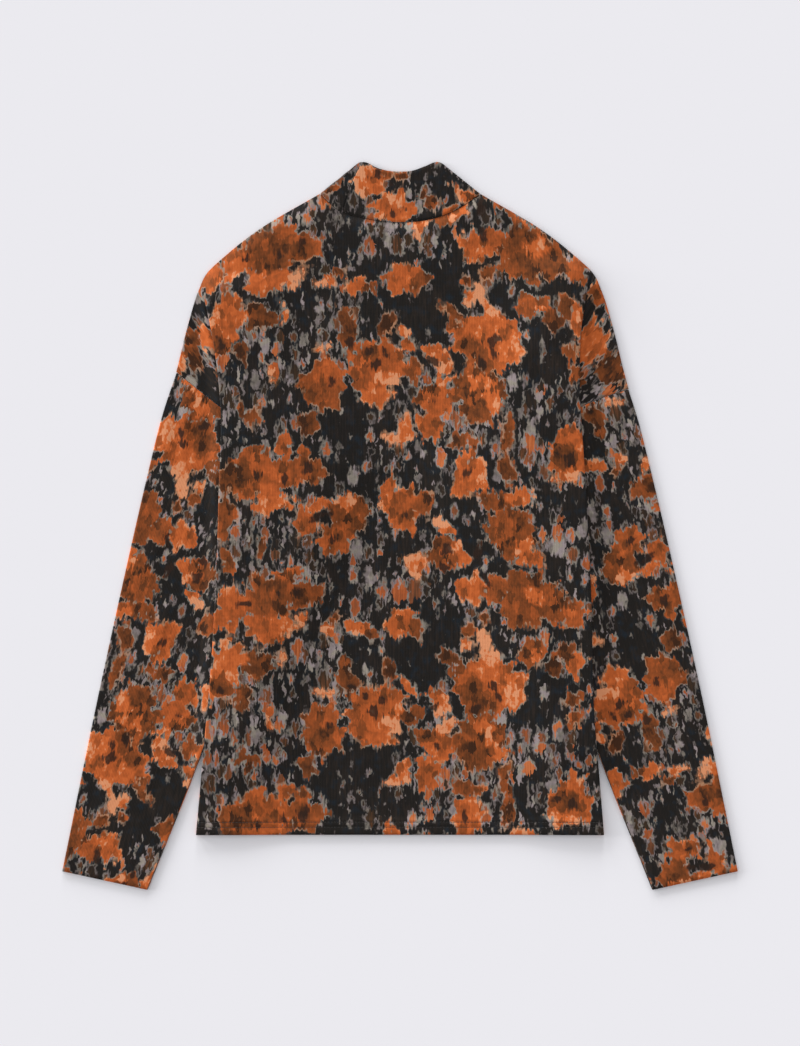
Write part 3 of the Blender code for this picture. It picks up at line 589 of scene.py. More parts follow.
class Cloth:
    """The middle of a piece of cloth, as quads: where each point lies, faces and was cut."""

    def __init__(self):
        self.places = []
        self.facings = []
        self.rises = []
        self.cuts = []
        self.quads = []

    def point(self, across, up, height, cut, facing=(0.0, 0.0, 1.0), rises=(0.0, 0.0)):
        """Adds a point; rises are extra thickness on the side that it faces, and behind it."""
        self.places.append((across, up - CENTRE_UP, height))
        self.facings.append(facing)
        self.rises.append(rises)
        self.cuts.append(cut)
        return len(self.places) - 1

    def patch(self, rows, closed=False):
        """Joins rows of points by quads; closed rows come round to their start."""
        for row, following in zip(rows, rows[1:]):
            count = len(row) if closed else len(row) - 1
            for i in range(count):
                j = (i + 1) % len(row)
                self.quads.append((row[i], row[j], following[j], following[i]))

    def rim(self):
        """The edges along which the cloth ends, and the way out of it at each point there."""
        uses = {}
        for quad in self.quads:
            for edge in zip(quad, quad[1:] + quad[:1]):
                uses.setdefault(frozenset(edge), []).append((edge, quad))
        ends = [found[0] for found in uses.values() if len(found) == 1]
        outward = {}
        for (a, b), quad in ends:
            along = np.subtract(self.places[b], self.places[a])
            away = np.cross(along, self.facings[a])
            middle = np.mean([self.places[i] for i in quad], axis=0)
            away *= np.sign(np.dot(away, np.subtract(self.places[a], middle)))
            away /= max(np.linalg.norm(away), 1e-9)
            for corner in (a, b):
                outward[corner] = outward.get(corner, 0.0) + away
        outward = {i: away / max(np.linalg.norm(away), 1e-9) for i, away in outward.items()}
        return [edge for edge, quad in ends], outward

    def wall(self, name, right_side, chart=()):
        """Makes the piece, with both faces, a rounded rim and the print.

        right_side is 1 where the points face the printed side, and -1 where they face the other.
        """
        size = len(self.places)
        places, facings = np.array(self.places), np.array(self.facings)
        rises = np.array(self.rises)
        ends, outward = self.rim()
        inset = np.zeros((size, 3))
        for i, away in outward.items():
            inset[i] = -RIM * away
        upper = places + facings * (CLOTH / 2 + rises[:, :1]) + inset
        lower = places - facings * (CLOTH / 2 + rises[:, 1:]) + inset
        edge = sorted(outward)
        row_of = {i: 2 * size + k for k, i in enumerate(edge)}
        step = CLOTH / 2 - RIM
        upper_rim = (places + facings * (step + rises[:, :1]))[edge]
        lower_rim = (places - facings * (step + rises[:, 1:]))[edge]
        corners = np.concatenate((upper, lower, upper_rim, lower_rim))
        owner = np.concatenate((np.arange(size), np.arange(size), edge, edge)).astype(int)
        faces = list(self.quads)
        faces += [tuple(size + i for i in reversed(quad)) for quad in self.quads]
        wrong = [right_side < 0] * len(self.quads) + [right_side > 0] * len(self.quads)
        for a, b in ends:
            up_a, up_b = row_of[a], row_of[b]
            low_a, low_b = up_a + len(edge), up_b + len(edge)
            faces += [(b, a, up_a, up_b), (up_b, up_a, low_a, low_b)]
            faces.append((low_b, low_a, a + size, b + size))
            wrong += [False] * 3
        mesh = bpy.data.meshes.new(name)
        mesh.from_pydata((corners * MM).tolist(), [], faces)
        mesh.polygons.foreach_set("material_index", [int(w) for w in wrong])
        cuts = np.array(self.cuts)[owner]
        for label, values in print_fields(cuts, *chart).items():
            layer = mesh.attributes.new(label, "FLOAT", "POINT")
            layer.data.foreach_set("value", values.astype(np.float32))
        loops = np.zeros(len(mesh.loops), dtype=np.int32)
        mesh.loops.foreach_get("vertex_index", loops)
        cloth_map = mesh.uv_layers.new(name="print")
        cloth_map.data.foreach_set("uv", (cuts[loops] * MM).astype(np.float32).ravel())
        whole = bmesh.new()
        whole.from_mesh(mesh)
        bmesh.ops.recalc_face_normals(whole, faces=whole.faces)
        whole.to_mesh(mesh)
        whole.free()
        mesh.shade_smooth()
        mesh.set_sharp_from_angle(angle=radians(SMOOTH_BELOW))
        mesh.materials.append(RIGHT_SIDE)
        mesh.materials.append(WRONG_SIDE)
        mesh.validate()
        return put(name, mesh)


def smooth(table, at):
    """Second column of a table where the first is `at`, on a smooth curve through its rows."""
    rows = sorted(table)
    keys = [row[0] for row in rows]
    values = [row[1] for row in rows]
    slopes = [(values[i + 1] - values[i]) / (keys[i + 1] - keys[i]) for i in range(len(keys) - 1)]
    tangents = [slopes[0]]
    for i in range(1, len(slopes)):
        before = keys[i] - keys[i - 1]
        after = keys[i + 1] - keys[i]
        tangents.append((slopes[i - 1] * after + slopes[i] * before) / (before + after))
    tangents.append(slopes[-1])
    i = 0
    while i < len(slopes) - 1 and at > keys[i + 1]:
        i += 1
    width = keys[i + 1] - keys[i]
    t = (at - keys[i]) / width
    if t < 0 or t > 1:
        return values[i] + slopes[i] * (at - keys[i])
    return (
        values[i] * (1 + 2 * t) * (1 - t) ** 2
        + values[i + 1] * t * t * (3 - 2 * t)
        + width * t * (1 - t) * (tangents[i] * (1 - t) - tangents[i + 1] * t)
    )


def straight(table, at):
    """Second column of a table where the first is `at`, on straight lines between its rows."""
    rows = sorted(table)
    if at <= rows[0][0]:
        return rows[0][1]
    for low, high in zip(rows, rows[1:]):
        if at <= high[0]:
            return mix(low[1], high[1], (at - low[0]) / (high[0] - low[0]))
    return rows[-1][1]


HALVINGS = 30                    # enough to place a point to far less than a micrometre


def solve(test, low, high):
    """Where `test` turns true between low, where it is false, and high."""
    for _ in range(HALVINGS):
        middle = (low + high) / 2
        if test(middle):
            high = middle
        else:
            low = middle
    return high


def spread(start, end, step):
    """Evenly spaced values from start to end, about `step` apart."""
    count = max(1, round(abs(end - start) / step))
    return [mix(start, end, i / count) for i in range(count + 1)]


def fold_path(turn, run_ends):
    """Steps out and along the fold of a tuck: a turn, a run, and a turn back.

    Returns (out, drop, heading, length) at each point, from where the first turn starts.
    """
    bend = FOLD * max(turn, pi / 2)
    turn_step = turn / ARC_STEPS
    chord = bend / ARC_STEPS
    if turn_step:
        chord = 2 * (bend / turn) * sin(turn_step / 2)
    lengths = [b - a for a, b in zip((0.0, *run_ends), run_ends)]
    steps = [(chord, turn_step)] * ARC_STEPS
    steps += [(length, 0.0) for length in lengths]
    steps += [(chord, -turn_step)] * ARC_STEPS
    out, drop, heading, total = 0.0, 0.0, 0.0, 0.0
    path = [(out, drop, heading, total)]
    for length, change in steps:
        middle = heading + change / 2
        out += length * cos(middle)
        drop += length * sin(middle)
        heading += change
        total += length
        path.append((out, drop, heading, total))
    return path


TUCK_LENGTH = TUCK_START[-1][0]
TUCK_BELOWS = [TUCK_LENGTH * i / START_ROWS for i in range(START_ROWS + 1)]
TUCK_DROPS = tuple(
    (below, fold_path(radians(straight(TUCK_START, below)), (SHORT_RUN,))[-1][1])
    for below in TUCK_BELOWS
)
TUCK_COLUMNS = ARC_STEPS + RUN_STEPS + 1         # points of a row, to the end of the run
SHOULDER_COLUMNS = 2 * ARC_STEPS + RUN_STEPS     # steps of a row, to the end of the second turn


def edge_out(side, up):
    """The visible edge of the body."""
    return smooth(side["edge"], up)


def tuck_out(side, up):
    """The inner fold of the tuck, or the side seam below the underarm."""
    if up <= UNDERARM[1]:
        return straight(SIDE_SEAM, up)
    share = (side["apex"] - up) / (side["apex"] - UNDERARM[1])
    return mix(edge_out(side, side["apex"]), UNDERARM[0], min(1.0, max(0.0, share)))


def tuck_lift(side, up):
    """How far one panel's tuck lifts what lies on it."""
    return straight(TUCK_DROPS, side["apex"] - up)


def sleeve_share(up):
    """1 where the sleeve still lies between the panels, 0 below it."""
    high, low = SLEEVE_OUT
    return min(1.0, max(0.0, (up - low) / (high - low)))


def sleeve_lift(side, out, up):
    """Height of the sleeve's under layer over where it lies outside the body."""
    beyond = out - edge_out(side, up) - EDGE_CLEAR
    return tuck_lift(side, up) * (1 - ease(beyond / SETTLE))


def seam_ridge(distance):
    """Height of the seam allowance under the cloth, at a distance from its seam."""
    width, end, high = SEAM_ALLOWANCE
    return high * ease((width + end - distance) / end) if distance > 0 else 0.0


def back_height(across, up):
    """Middle of the back panel: two layers up at the centre, more over the tucks."""
    height = level(1)
    slope, most = TUCK_SLANT
    for side in SIDES.values():
        inboard = max(0.0, edge_out(side, up) - side["sign"] * across)
        pile = tuck_lift(side, up - min(slope * inboard, most)) * (1 + sleeve_share(up))
        inside = tuck_out(side, up) - DRAPE_MARGIN - side["sign"] * across
        height += pile * (1 - ease(inside / DRAPE))
    height += creases(BODY_CREASES, across, up) + creases(BACK_CREASES, across, up)
    if abs(across) < NECK_CORNER[0]:
        height += seam_ridge(smooth(NECK_BACK, across) - up)
    return height


def tuck_rows(side):
    """Heights of the rows from the apex to the underarm."""
    start = side["apex"] - TUCK_LENGTH
    count = round((SIDES["left"]["apex"] - TUCK_LENGTH - UNDERARM[1]) / ROW_STEP)
    rows = [side["apex"] - below for below in TUCK_BELOWS]
    return rows + [mix(start, UNDERARM[1], (i + 1) / count) for i in range(count)]


def panel_rows(side):
    """Heights of all rows of a panel, from the apex to the hem."""
    lower = spread(UNDERARM[1], HEM_ROWS[0][0], ROW_STEP)[1:-1]
    return tuck_rows(side) + lower + [up for up, groove in HEM_ROWS]


def armhole_bulge(side, out):
    """How far the armhole seam lies above the straight line between its ends."""
    table = side["armhole"]
    return smooth(table, out) - straight((table[0], table[-1]), out)


def lay_across(side, inner, outer, bend, steps):
    """Plan points from inner to outer, with columns along the strip beside the body's edge.

    bend is the share of the armhole seam's own curve that the row follows.
    """
    def plan(share):
        out, up = mix_points(inner, outer, share)
        return out, up + bend * armhole_bulge(side, out)

    def outside(share):
        out, up = plan(share)
        return out > edge_out(side, up) + EDGE_CLEAR

    crossing = max(INSIDE_LEAST, solve(outside, 0.0, 1.0))
    settle = min(SETTLE / (outer[0] - inner[0]), SETTLE_MOST * (1 - crossing))
    marks = (0.0, crossing, crossing + settle, 1.0)
    shares = [0.0]
    for start, end, count in zip(marks, marks[1:], steps):
        shares += [mix(start, end, (i + 1) / count) for i in range(count)]
    return [plan(share) for share in shares]


def shoulder_start(side):
    """Height at which the outline reaches the start of the body's edge."""
    start = edge_out(side, side["apex"]) - FOLD_EDGE
    return solve(lambda up: smooth(OUTLINE, up) < start, side["apex"], NECK_CORNER[1])


def top_edge(neckline):
    """Plan points of a panel's top edge, from the left tuck over the neckline to the right."""
    edges = []
    for side in SIDES.values():
        start = shoulder_start(side)
        heights = [mix(start, NECK_CORNER[1], i / SHOULDER_STEPS) for i in range(SHOULDER_STEPS)]
        edges.append([(side["sign"] * smooth(OUTLINE, up), up) for up in heights])
    left, right = edges
    neck = [mix(-NECK_CORNER[0], NECK_CORNER[0], i / NECK_STEPS) for i in range(NECK_STEPS + 1)]
    return left + [(across, smooth(neckline, across)) for across in neck] + right[::-1]


def main_grid(cloth, neckline, height, facing_up, moved):
    """The part of a panel between the two body edges, as rows from the top edge to the hem.

    facing_up is 1 for the back and -1 for the front; moved is where on the cloth the panel was
    cut, from where it lies.
    """
    top = top_edge(neckline)
    left_rows, right_rows = (panel_rows(side) for side in SIDES.values())
    first_left, first_right = top[0], top[-1]
    hem = len(left_rows) - len(HEM_ROWS)
    grid = []
    for j, (left_up, right_up) in enumerate(zip(left_rows, right_rows)):
        ends = []
        for side, up in zip(SIDES.values(), (left_up, right_up)):
            ends.append((side["sign"] * (edge_out(side, up) - FOLD_EDGE), up))
        if j == 0:
            ends = [first_left, first_right]
        pull = max(0.0, (left_up - left_rows[hem]) / (left_rows[0] - left_rows[hem]))
        # the hem's second layer raises the face of the back; the front keeps its underside
        # level, and shows only the grooves and the rounded edge there
        groove = HEM_ROWS[j - hem][1] if j > hem else HEM_RISE
        rises = (HEM_RISE - groove, 0.0)
        if facing_up < 0:
            rises = (0.0, -min(groove, RIM) if j > hem else 0.0)
        row = []
        for across, up in top:
            share = (across - first_left[0]) / (first_right[0] - first_left[0])
            base = mix_points(first_left, first_right, share)
            place = mix_points(ends[0], ends[1], share)
            x = place[0] + pull * (across - base[0])
            y = place[1] + pull * (up - base[1])
            cut = (x + moved[0], y + moved[1])
            row.append(cloth.point(x, y, height(x, y), cut, rises=rises))
        grid.append(row)
    cloth.patch(grid)
    return grid


def tuck_side(cloth, side, starts, facing_up, moved):
    """The tuck of one panel on one side, from the panel's edge points `starts`.

    facing_up is 1 for the back, whose tuck lies under it, and -1 for the front, whose tuck
    lies over it.
    """
    shoulder_count = len(tuck_rows(side))
    rows = [stub_row(cloth, side, starts[0], facing_up, moved)]
    for j, (start, up) in enumerate(zip(starts, panel_rows(side))):
        if j == 0:
            continue
        turn = radians(straight(TUCK_START, side["apex"] - up))
        row = [start] + tuck_row(cloth, side, start, up, turn, j < shoulder_count, facing_up, moved)
        if j < shoulder_count:
            row += shoulder_row(cloth, side, row[-1], up, facing_up, moved)
        rows.append(row)
    cloth.patch(rows[:shoulder_count])
    cloth.patch([row[:TUCK_COLUMNS] for row in rows[shoulder_count - 1:]])


def stub_row(cloth, side, start, facing_up, moved):
    """A tuck's first row, which isn't folded and runs down the outline to the apex."""
    base = cloth.places[start][2]
    count = SHOULDER_COLUMNS + sum(SHOULDER_ACROSS)
    row = [start]
    for step in range(1, count + 1):
        up = mix(shoulder_start(side), side["apex"], step / count)
        out = smooth(OUTLINE, up)
        height = base
        if step > SHOULDER_COLUMNS:
            height = shoulder_height(side, out, up, facing_up)
        cut = (side["sign"] * out + moved[0], up + moved[1])
        row.append(cloth.point(side["sign"] * out, up, height, cut))
    return row


def tuck_run(side, up, begin, turn, shoulder):
    """Length of a tuck's run, and of its part before the last point."""
    if turn < pi:
        return SHORT_RUN, SHORT_RUN * RUN_KNEE
    run = begin - tuck_out(side, up)
    if shoulder:
        return run - FOLD_EDGE, (run - FOLD_EDGE) * RUN_KNEE
    knee = begin - smooth(SLEEVE_INNER, up) + SEAM_BEND
    return run, max(run * SEAM_BEND_LEAST, min(run - SEAM_STEP, knee))


def tuck_row(cloth, side, start, up, turn, shoulder, facing_up, moved):
    """A row of a tuck: round the body's edge, in along the run and, on a shoulder, round again."""
    begin = edge_out(side, up) - FOLD_EDGE
    base = cloth.places[start][2]
    run, knee = tuck_run(side, up, begin, turn, shoulder)
    marks = [knee * (i + 1) / (RUN_STEPS - 1) for i in range(RUN_STEPS - 1)] + [run]
    path = fold_path(turn, marks)[1:]
    if not shoulder:
        path = path[:TUCK_COLUMNS - 1]
    row = []
    for out, drop, heading, length in path:
        facing = (side["sign"] * facing_up * sin(heading), 0.0, cos(heading))
        height = base - facing_up * drop
        if not shoulder and len(row) == len(path) - 1:
            high, low = SEAM_CLOSE
            closed = level(1 + shoulder_layer(facing_up)) + PITCH * sleeve_share(up)
            height = mix(height, closed, ease((high - up) / (high - low)))
        cut = (side["sign"] * (begin + length) + moved[0], up + moved[1])
        row.append(cloth.point(side["sign"] * (begin + out), up, height, cut, facing))
    return row


def shoulder_layer(facing_up):
    """Layer of a panel's dropped shoulder beside the body: the back's lies on the front's."""
    return 1 if facing_up > 0 else 0


def shoulder_height(side, out, up, facing_up):
    return level(shoulder_layer(facing_up)) + sleeve_lift(side, out, up)


def shoulder_cut(side, out, up):
    """Where a point of the dropped shoulder lies on the cloth, with both folds laid open."""
    apex = (edge_out(side, side["apex"]), side["apex"])
    inner, height = mirror((out, up), apex, UNDERARM)
    return 2 * edge_out(side, height) - inner, height


def shoulder_row(cloth, side, start, row_up, facing_up, moved):
    """A row of the dropped shoulder, from the inner fold of the tuck to the outline."""
    sign = side["sign"]
    x, y, _ = cloth.places[start]
    inner = (sign * x, y + CENTRE_UP)
    share = (side["apex"] - row_up) / (side["apex"] - UNDERARM[1])
    outer_up = mix(side["apex"], side["armhole"][-1][1], share)
    outer = (smooth(OUTLINE, outer_up), outer_up)
    places = lay_across(side, inner, outer, share ** PANEL_BULGE_FADE, SHOULDER_ACROSS)[1:]
    row = []
    for out, up in places:
        cut_out, cut_up = shoulder_cut(side, out, up)
        cut = (sign * cut_out + moved[0], cut_up + moved[1])
        height = shoulder_height(side, out, up, facing_up)
        row.append(cloth.point(sign * out, up, height, cut))
    return row


def body_panel(name, neckline, height, facing_up, moved):
    """facing_up is 1 for the back, whose right side is up, and -1 for the front."""
    cloth = Cloth()
    grid = main_grid(cloth, neckline, height, facing_up, moved)
    left, right = SIDES.values()
    tuck_side(cloth, left, [row[0] for row in grid], facing_up, moved)
    tuck_side(cloth, right, [row[-1] for row in grid], facing_up, moved)
    return cloth.wall(name, facing_up)


back = body_panel("back_jersey", NECK_BACK, back_height, 1, (0.0, 0.0))
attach(back, "root")
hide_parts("back")


# ==== The front panel ===========================================================================
# The hidden front lies face down on the surface. It is cut like the back but for its lower
# neckline, and its tucks turn the other way, up onto it.
NECK_FRONT = (
    (-80.5, 641.0), (-68.0, 603.0), (-40.0, 572.0), (0.0, 561.0), (40.0, 572.0),
    (68.0, 603.0), (80.5, 641.0),
)
FRONT_CUT = (173.0, 96.0)        # it was cut this far along the cloth from the back


def front_height(across, up):
    return level(0) + creases(BODY_CREASES, across, up)


front = body_panel("front_jersey", NECK_FRONT, front_height, -1, FRONT_CUT)
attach(front, "root")
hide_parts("front")


# ==== The sleeves ===============================================================================
# Each sleeve is one piece, joined along the underarm and pressed flat, with the print upside
# down. It lies between the tucks of the two panels and comes down to the floor beside them.
CUFF_OUTER = (338.0, -36.4)      # out, up
CUFF_INNER = (252.2, -54.9)
SEAM_SHIFT = 0.4                 # the armhole seam's gap, measured along the sleeve
SLEEVE_BULGE_FADE = 6            # how fast the armhole's curve fades down the rings
SLEEVE_ACROSS = (5, 8, 34)
SLEEVE_STEP = 3.2
# How each sleeve was laid on the cloth: the middle of the sleeve as it lies, the place on the
# print that it came from, how far that is turned, and how much the print has shrunk here
SLEEVE_CUTS = {
    "left": {"middle": (-244.6, 188.0), "print": (73.1, 367.7), "turn": -166.9, "scale": 1.07},
    "right": {"middle": (248.4, 189.7), "print": (-66.3, 412.1), "turn": 169.9, "scale": 1.10},
}
# Ridges on the upper layers: out and up of both ends, height, half width
SLEEVE_CREASES = {
    "left": (
        (213, 455, 216, 372, 0.9, 9), (232, 425, 236, 350, 0.6, 8), (222, 330, 262, 250, 0.6, 11),
        (226, 240, 262, 150, 0.7, 12), (262, 150, 300, 60, 0.6, 12), (240, 90, 262, 20, 0.5, 10),
        (290, 60, 312, -10, 0.5, 10),
    ),
    "right": (
        (203, 436, 212, 380, 0.8, 7), (213, 440, 224, 392, 0.7, 6), (196, 420, 200, 350, 0.6, 7),
        (232, 400, 246, 320, 0.6, 10), (222, 300, 258, 210, 0.7, 12), (268, 230, 280, 130, 0.5, 12),
        (246, 130, 276, 40, 0.7, 12), (292, 70, 316, -8, 0.5, 10),
    ),
}


def sleeve_cut(name, across, up):
    """Where a point of a sleeve's upper layer lies on the cloth."""
    laid = SLEEVE_CUTS[name]
    dx = (across - laid["middle"][0]) * laid["scale"]
    dy = (up - laid["middle"][1]) * laid["scale"]
    turn = radians(laid["turn"])
    return (
        laid["print"][0] + dx * cos(turn) - dy * sin(turn),
        laid["print"][1] + dx * sin(turn) + dy * cos(turn),
    )


def sleeve(name, side):
    """A tube pressed flat, whose rings run from the armhole seam to the cuff."""
    cloth = Cloth()
    rings = []
    length = UNDERARM[1] - CUFF_INNER[1]
    for along in spread(0.0, length, SLEEVE_STEP):
        share = along / length
        inner_up = mix(UNDERARM[1] - SEAM_SHIFT, CUFF_INNER[1], share)
        outer_up = mix(side["armhole"][-1][1] - SEAM_SHIFT, CUFF_OUTER[1], share)
        inner = (smooth(SLEEVE_INNER, inner_up) + FOLD_EDGE, inner_up)
        outer = (smooth(OUTLINE, outer_up), outer_up)
        bend = (1 - share) ** SLEEVE_BULGE_FADE
        places = lay_across(side, inner, outer, bend, SLEEVE_ACROSS)
        before, end = places[-2], places[-1]
        places[-1] = mix_points(end, before, FOLD_EDGE / (end[0] - before[0]))
        rings.append(sleeve_ring(cloth, name, side, places, along))
    cloth.patch(rings, closed=True)
    return cloth.wall("sleeve_" + name + "_jersey", 1)


def sleeve_ring(cloth, name, side, places, along):
    """One ring: over the top to the outer fold, round it, back underneath, and round."""
    sign = side["sign"]
    ring = []
    fold_top = (sign * side["armhole"][-1][0], side["armhole"][-1][1])
    fold_end = (sign * CUFF_OUTER[0], CUFF_OUTER[1])
    for layer, row, facing in ((1, places, 1), (0, places[::-1], -1)):
        for out, up in row:
            height = level(layer) + sleeve_lift(side, out, up)
            if facing > 0:
                height += creases(SLEEVE_CREASES[name], out, up)
                height += seam_ridge(along) * ease((out - edge_out(side, up) - EDGE_CLEAR) / SETTLE)
            plan = (sign * out, up)
            if facing < 0:
                plan = mirror(plan, fold_top, fold_end)
            ring.append(cloth.point(
                sign * out, up, height, sleeve_cut(name, *plan), (0.0, 0.0, facing),
            ))
        out, up = row[-1]
        middle = level(layer) - facing * FOLD + sleeve_lift(side, out, up)
        cut = cloth.cuts[ring[-1]]
        for i in range(1, ARC_STEPS):
            angle = pi * i / ARC_STEPS
            outward, upward = facing * sin(angle), facing * cos(angle)
            place = sign * (out + FOLD * outward)
            ring.append(cloth.point(
                place, up, middle + FOLD * upward, cut, (sign * outward, 0.0, upward),
            ))
    return ring


sleeves = {}
for label, side in SIDES.items():
    sleeves[label] = sleeve(label, side)
    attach(sleeves[label], "root")
    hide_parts("sleeve_" + label)


# ==== The collar ================================================================================
# A high soft band of the same jersey, sewn into the neckline and closed by one seam on the
# wearer's left. It lies pressed flat, its back part over its front part.
COLLAR_TIP = (41.5, 672.4)       # top of the collar's side fold
COLLAR_SEAM_BASE = 0.144         # closing seam, as a share of the way from the left corner
COLLAR_SEAM_TOP = 0.05
COLLAR_LEAN = 0.015              # share of a side fold that its foot stands clear of the corner
FOLD_BASE = (0.63, 0.78)         # plan direction that a side fold faces, at its base
FOLD_TIP = (0.95, 0.3)           # and at its tip
COLLAR_STEPS = 18
# How the band swells over the seam allowance at its foot, and at its rolled top edge: share of
# the band's height where this ends or starts, share over which it fades, and how high it is
COLLAR_FOOT = (0.16, 0.05, 0.35)
COLLAR_ROLL = (0.9, 0.08, 0.25)
COLLAR_FLATTEN = 6.0             # width beside a side fold over which it fades too
FRONT_BAND_CUT = 250.0           # the front part lay this far along the cloth, the other way round
# Top edge of the collar, behind and in front: across, up
COLLAR_TOP_BACK = (
    (-41.5, 672.4), (-36.0, 672.9), (-22.2, 666.9), (-12.0, 664.2), (0.0, 663.4),
    (12.0, 664.2), (25.2, 668.8), (36.5, 673.0), (41.5, 672.4),
)
COLLAR_TOP_FRONT = (
    (-41.5, 672.4), (-34.0, 645.0), (-20.0, 620.0), (0.0, 611.0), (20.0, 620.0),
    (34.0, 645.0), (41.5, 672.4),
)
# The part of the print that the collar shows, charted as above
COLLAR_FLOWERS = (
    (-31, 656, 13, 16, 0, 0.85), (-5, 627, 20, 15, 0, 0.75), (66, 638, 14, 6, -30, 0.90),
    (150, 640, 26, 20, 0, 0.60),
)
COLLAR_PETALS = (
    (-10, 661, 6, 4, 0, 0.50), (3, 657, 5, 5, 0, 0.30), (31, 631, 7, 7, 0, 0.20),
    (50, 627, 6, 5, 0, 0.70), (-68, 648, 6, 5, 20, 0.25), (68, 640, 6, 3, -30, 0.30),
    (24, 640, 4, 6, 0, 0.10), (-36, 662, 6, 7, 0, 0.95), (-24, 648, 5, 6, 0, 0.60),
)
COLLAR_HEARTS = (
    (-8, 624, 3, 3), (2, 629, 3, 3), (-20, 662, 3, 4), (-9, 652, 4, 3), (-30, 658, 2, 3),
)


def seam_offset(table, across, distance):
    """Plan point at `distance` from a curve, square to it, on its upper side."""
    step = 0.5
    slope = (smooth(table, across + step) - smooth(table, across - step)) / (2 * step)
    length = (1 + slope * slope) ** 0.5
    return across - distance * slope / length, smooth(table, across) + distance / length


def collar_place(neckline, top, share, row):
    """Plan point of the collar, `share` of the way from its left side fold to its right."""
    base_across = mix(-NECK_CORNER[0], NECK_CORNER[0], share)
    if 0 < share < 1:
        base = seam_offset(neckline, base_across, GAP)
    else:
        lean = mix_points(NECK_CORNER, COLLAR_TIP, COLLAR_LEAN)
        base = (lean[0] if share else -lean[0], lean[1])
    top_across = mix(-COLLAR_TIP[0], COLLAR_TIP[0], share)
    return mix_points(base, (top_across, smooth(top, top_across)), row)


def collar_height(row):
    """How far the band swells, at a share of the way from its foot to its top edge."""
    foot, foot_fade, foot_high = COLLAR_FOOT
    roll, roll_fade, roll_high = COLLAR_ROLL
    return foot_high * ease((foot - row) / foot_fade) + roll_high * ease((row - roll) / roll_fade)


def collar():
    """The band, in rows from its foot to its top edge."""
    cloth = Cloth()
    steps = [i / NECK_STEPS for i in range(NECK_STEPS + 1)]
    corner_steps = [step / COLLAR_SEAM_BASE for step in steps if step < COLLAR_SEAM_BASE] + [1.0]
    behind_steps = [0.0] + [
        (step - COLLAR_SEAM_BASE) / (1 - COLLAR_SEAM_BASE)
        for step in steps if step > COLLAR_SEAM_BASE
    ]
    rows = []
    for i in range(COLLAR_STEPS + 1):
        row = i / COLLAR_STEPS
        seam = mix(COLLAR_SEAM_BASE, COLLAR_SEAM_TOP, row)
        behind = [
            collar_place(NECK_BACK, COLLAR_TOP_BACK, mix(seam, 1.0, step), row)
            for step in behind_steps
        ]
        front_part = [
            collar_place(NECK_FRONT, COLLAR_TOP_FRONT, step, row) for step in steps[::-1]
        ]
        corner = [
            collar_place(NECK_BACK, COLLAR_TOP_BACK, seam * step, row) for step in corner_steps
        ]
        behind[0] = (behind[0][0] + GAP / 2, behind[0][1])
        corner[-1] = (corner[-1][0] - GAP / 2, corner[-1][1])
        outward = mix_points(FOLD_BASE, FOLD_TIP, row)
        rows.append(collar_row(cloth, behind, front_part, corner, outward, row))
    cloth.patch(rows)
    chart = (COLLAR_FLOWERS, COLLAR_PETALS, COLLAR_HEARTS)
    return cloth.wall("collar_jersey", 1, chart)


def collar_row(cloth, behind, front_part, corner, outward, row):
    """One row round the band: from the seam across the back, round, and back to the seam.

    outward is the way that the right side fold faces in plan; the left one mirrors it.
    """
    length = hypot(*outward)
    outward = (outward[0] / length, outward[1] / length)
    fold = mix(NECK_CORNER[0], COLLAR_TIP[0], row)
    ends = ((behind, -1, 1), (front_part, 0, 1), (front_part, -1, -1), (corner, 0, -1))
    for places, end, sign in ends:
        x, y = places[end]
        places[end] = (x - sign * outward[0] * FOLD_EDGE, y - outward[1] * FOLD_EDGE)
    lift = level(1) + collar_height(row)
    down = (0.0, 0.0, -1.0)
    points = [cloth.point(x, y, lift * swell(x, fold, row), (x, y)) for x, y in behind]
    points += collar_fold(cloth, behind[-1], outward, 1, 1)
    points += [cloth.point(x, y, level(0), (FRONT_BAND_CUT - x, y), down) for x, y in front_part]
    points += collar_fold(cloth, front_part[-1], outward, -1, -1)
    points += [cloth.point(x, y, lift * swell(x, fold, row), (x, y)) for x, y in corner]
    return points


def swell(across, fold, row):
    """Share of the band's height kept at a place: 1 inside, less near its side folds."""
    keep = ease((fold - abs(across)) / COLLAR_FLATTEN)
    return mix(level(1) / (level(1) + collar_height(row)), 1.0, keep)


def collar_fold(cloth, place, outward, sign, upper):
    """The points round a side fold, from the upper layer down, or up to it if upper is -1."""
    points = []
    cut = cloth.cuts[-1]
    for i in range(1, ARC_STEPS):
        angle = pi * i / ARC_STEPS
        reach = sin(angle)
        upward = upper * cos(angle)
        facing = (sign * outward[0] * reach, outward[1] * reach, upward)
        x = place[0] + sign * outward[0] * FOLD * reach
        y = place[1] + outward[1] * FOLD * reach
        points.append(cloth.point(x, y, level(0) + FOLD + FOLD * upward, cut, facing))
    return points


band = collar()
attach(band, "root")
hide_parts("collar")


# ==== The hem stitching =========================================================================
# Two rows of dark polyester thread, sewn at once by a twin needle through both layers of the
# turned-up hem, on the back and on the front.
STITCH = 2.9                     # length of a stitch, and the gap to the next
STITCH_GAP = 0.5
THREAD = 0.19                    # radius of the thread
THREAD_SIDES = 6
THREAD_PROUD = 0.4               # share of that by which its middle stands over the cloth
THREAD_SINK = 0.12               # how far each end dips into the cloth
# Along a stitch: share of its length, how far it is up as a share of the dip, share of its width
STITCH_SHAPE = (
    (0.0, -1.0, 0.5), (0.18, 0.0, 1.0), (0.5, 0.35, 1.0), (0.82, 0.0, 1.0), (1.0, -1.0, 0.5),
)
HEM_ENDS = 202.0                 # half of the length that the rows run
THREAD_DARK = "1b1918"
THREAD_PALE = "332e2b"


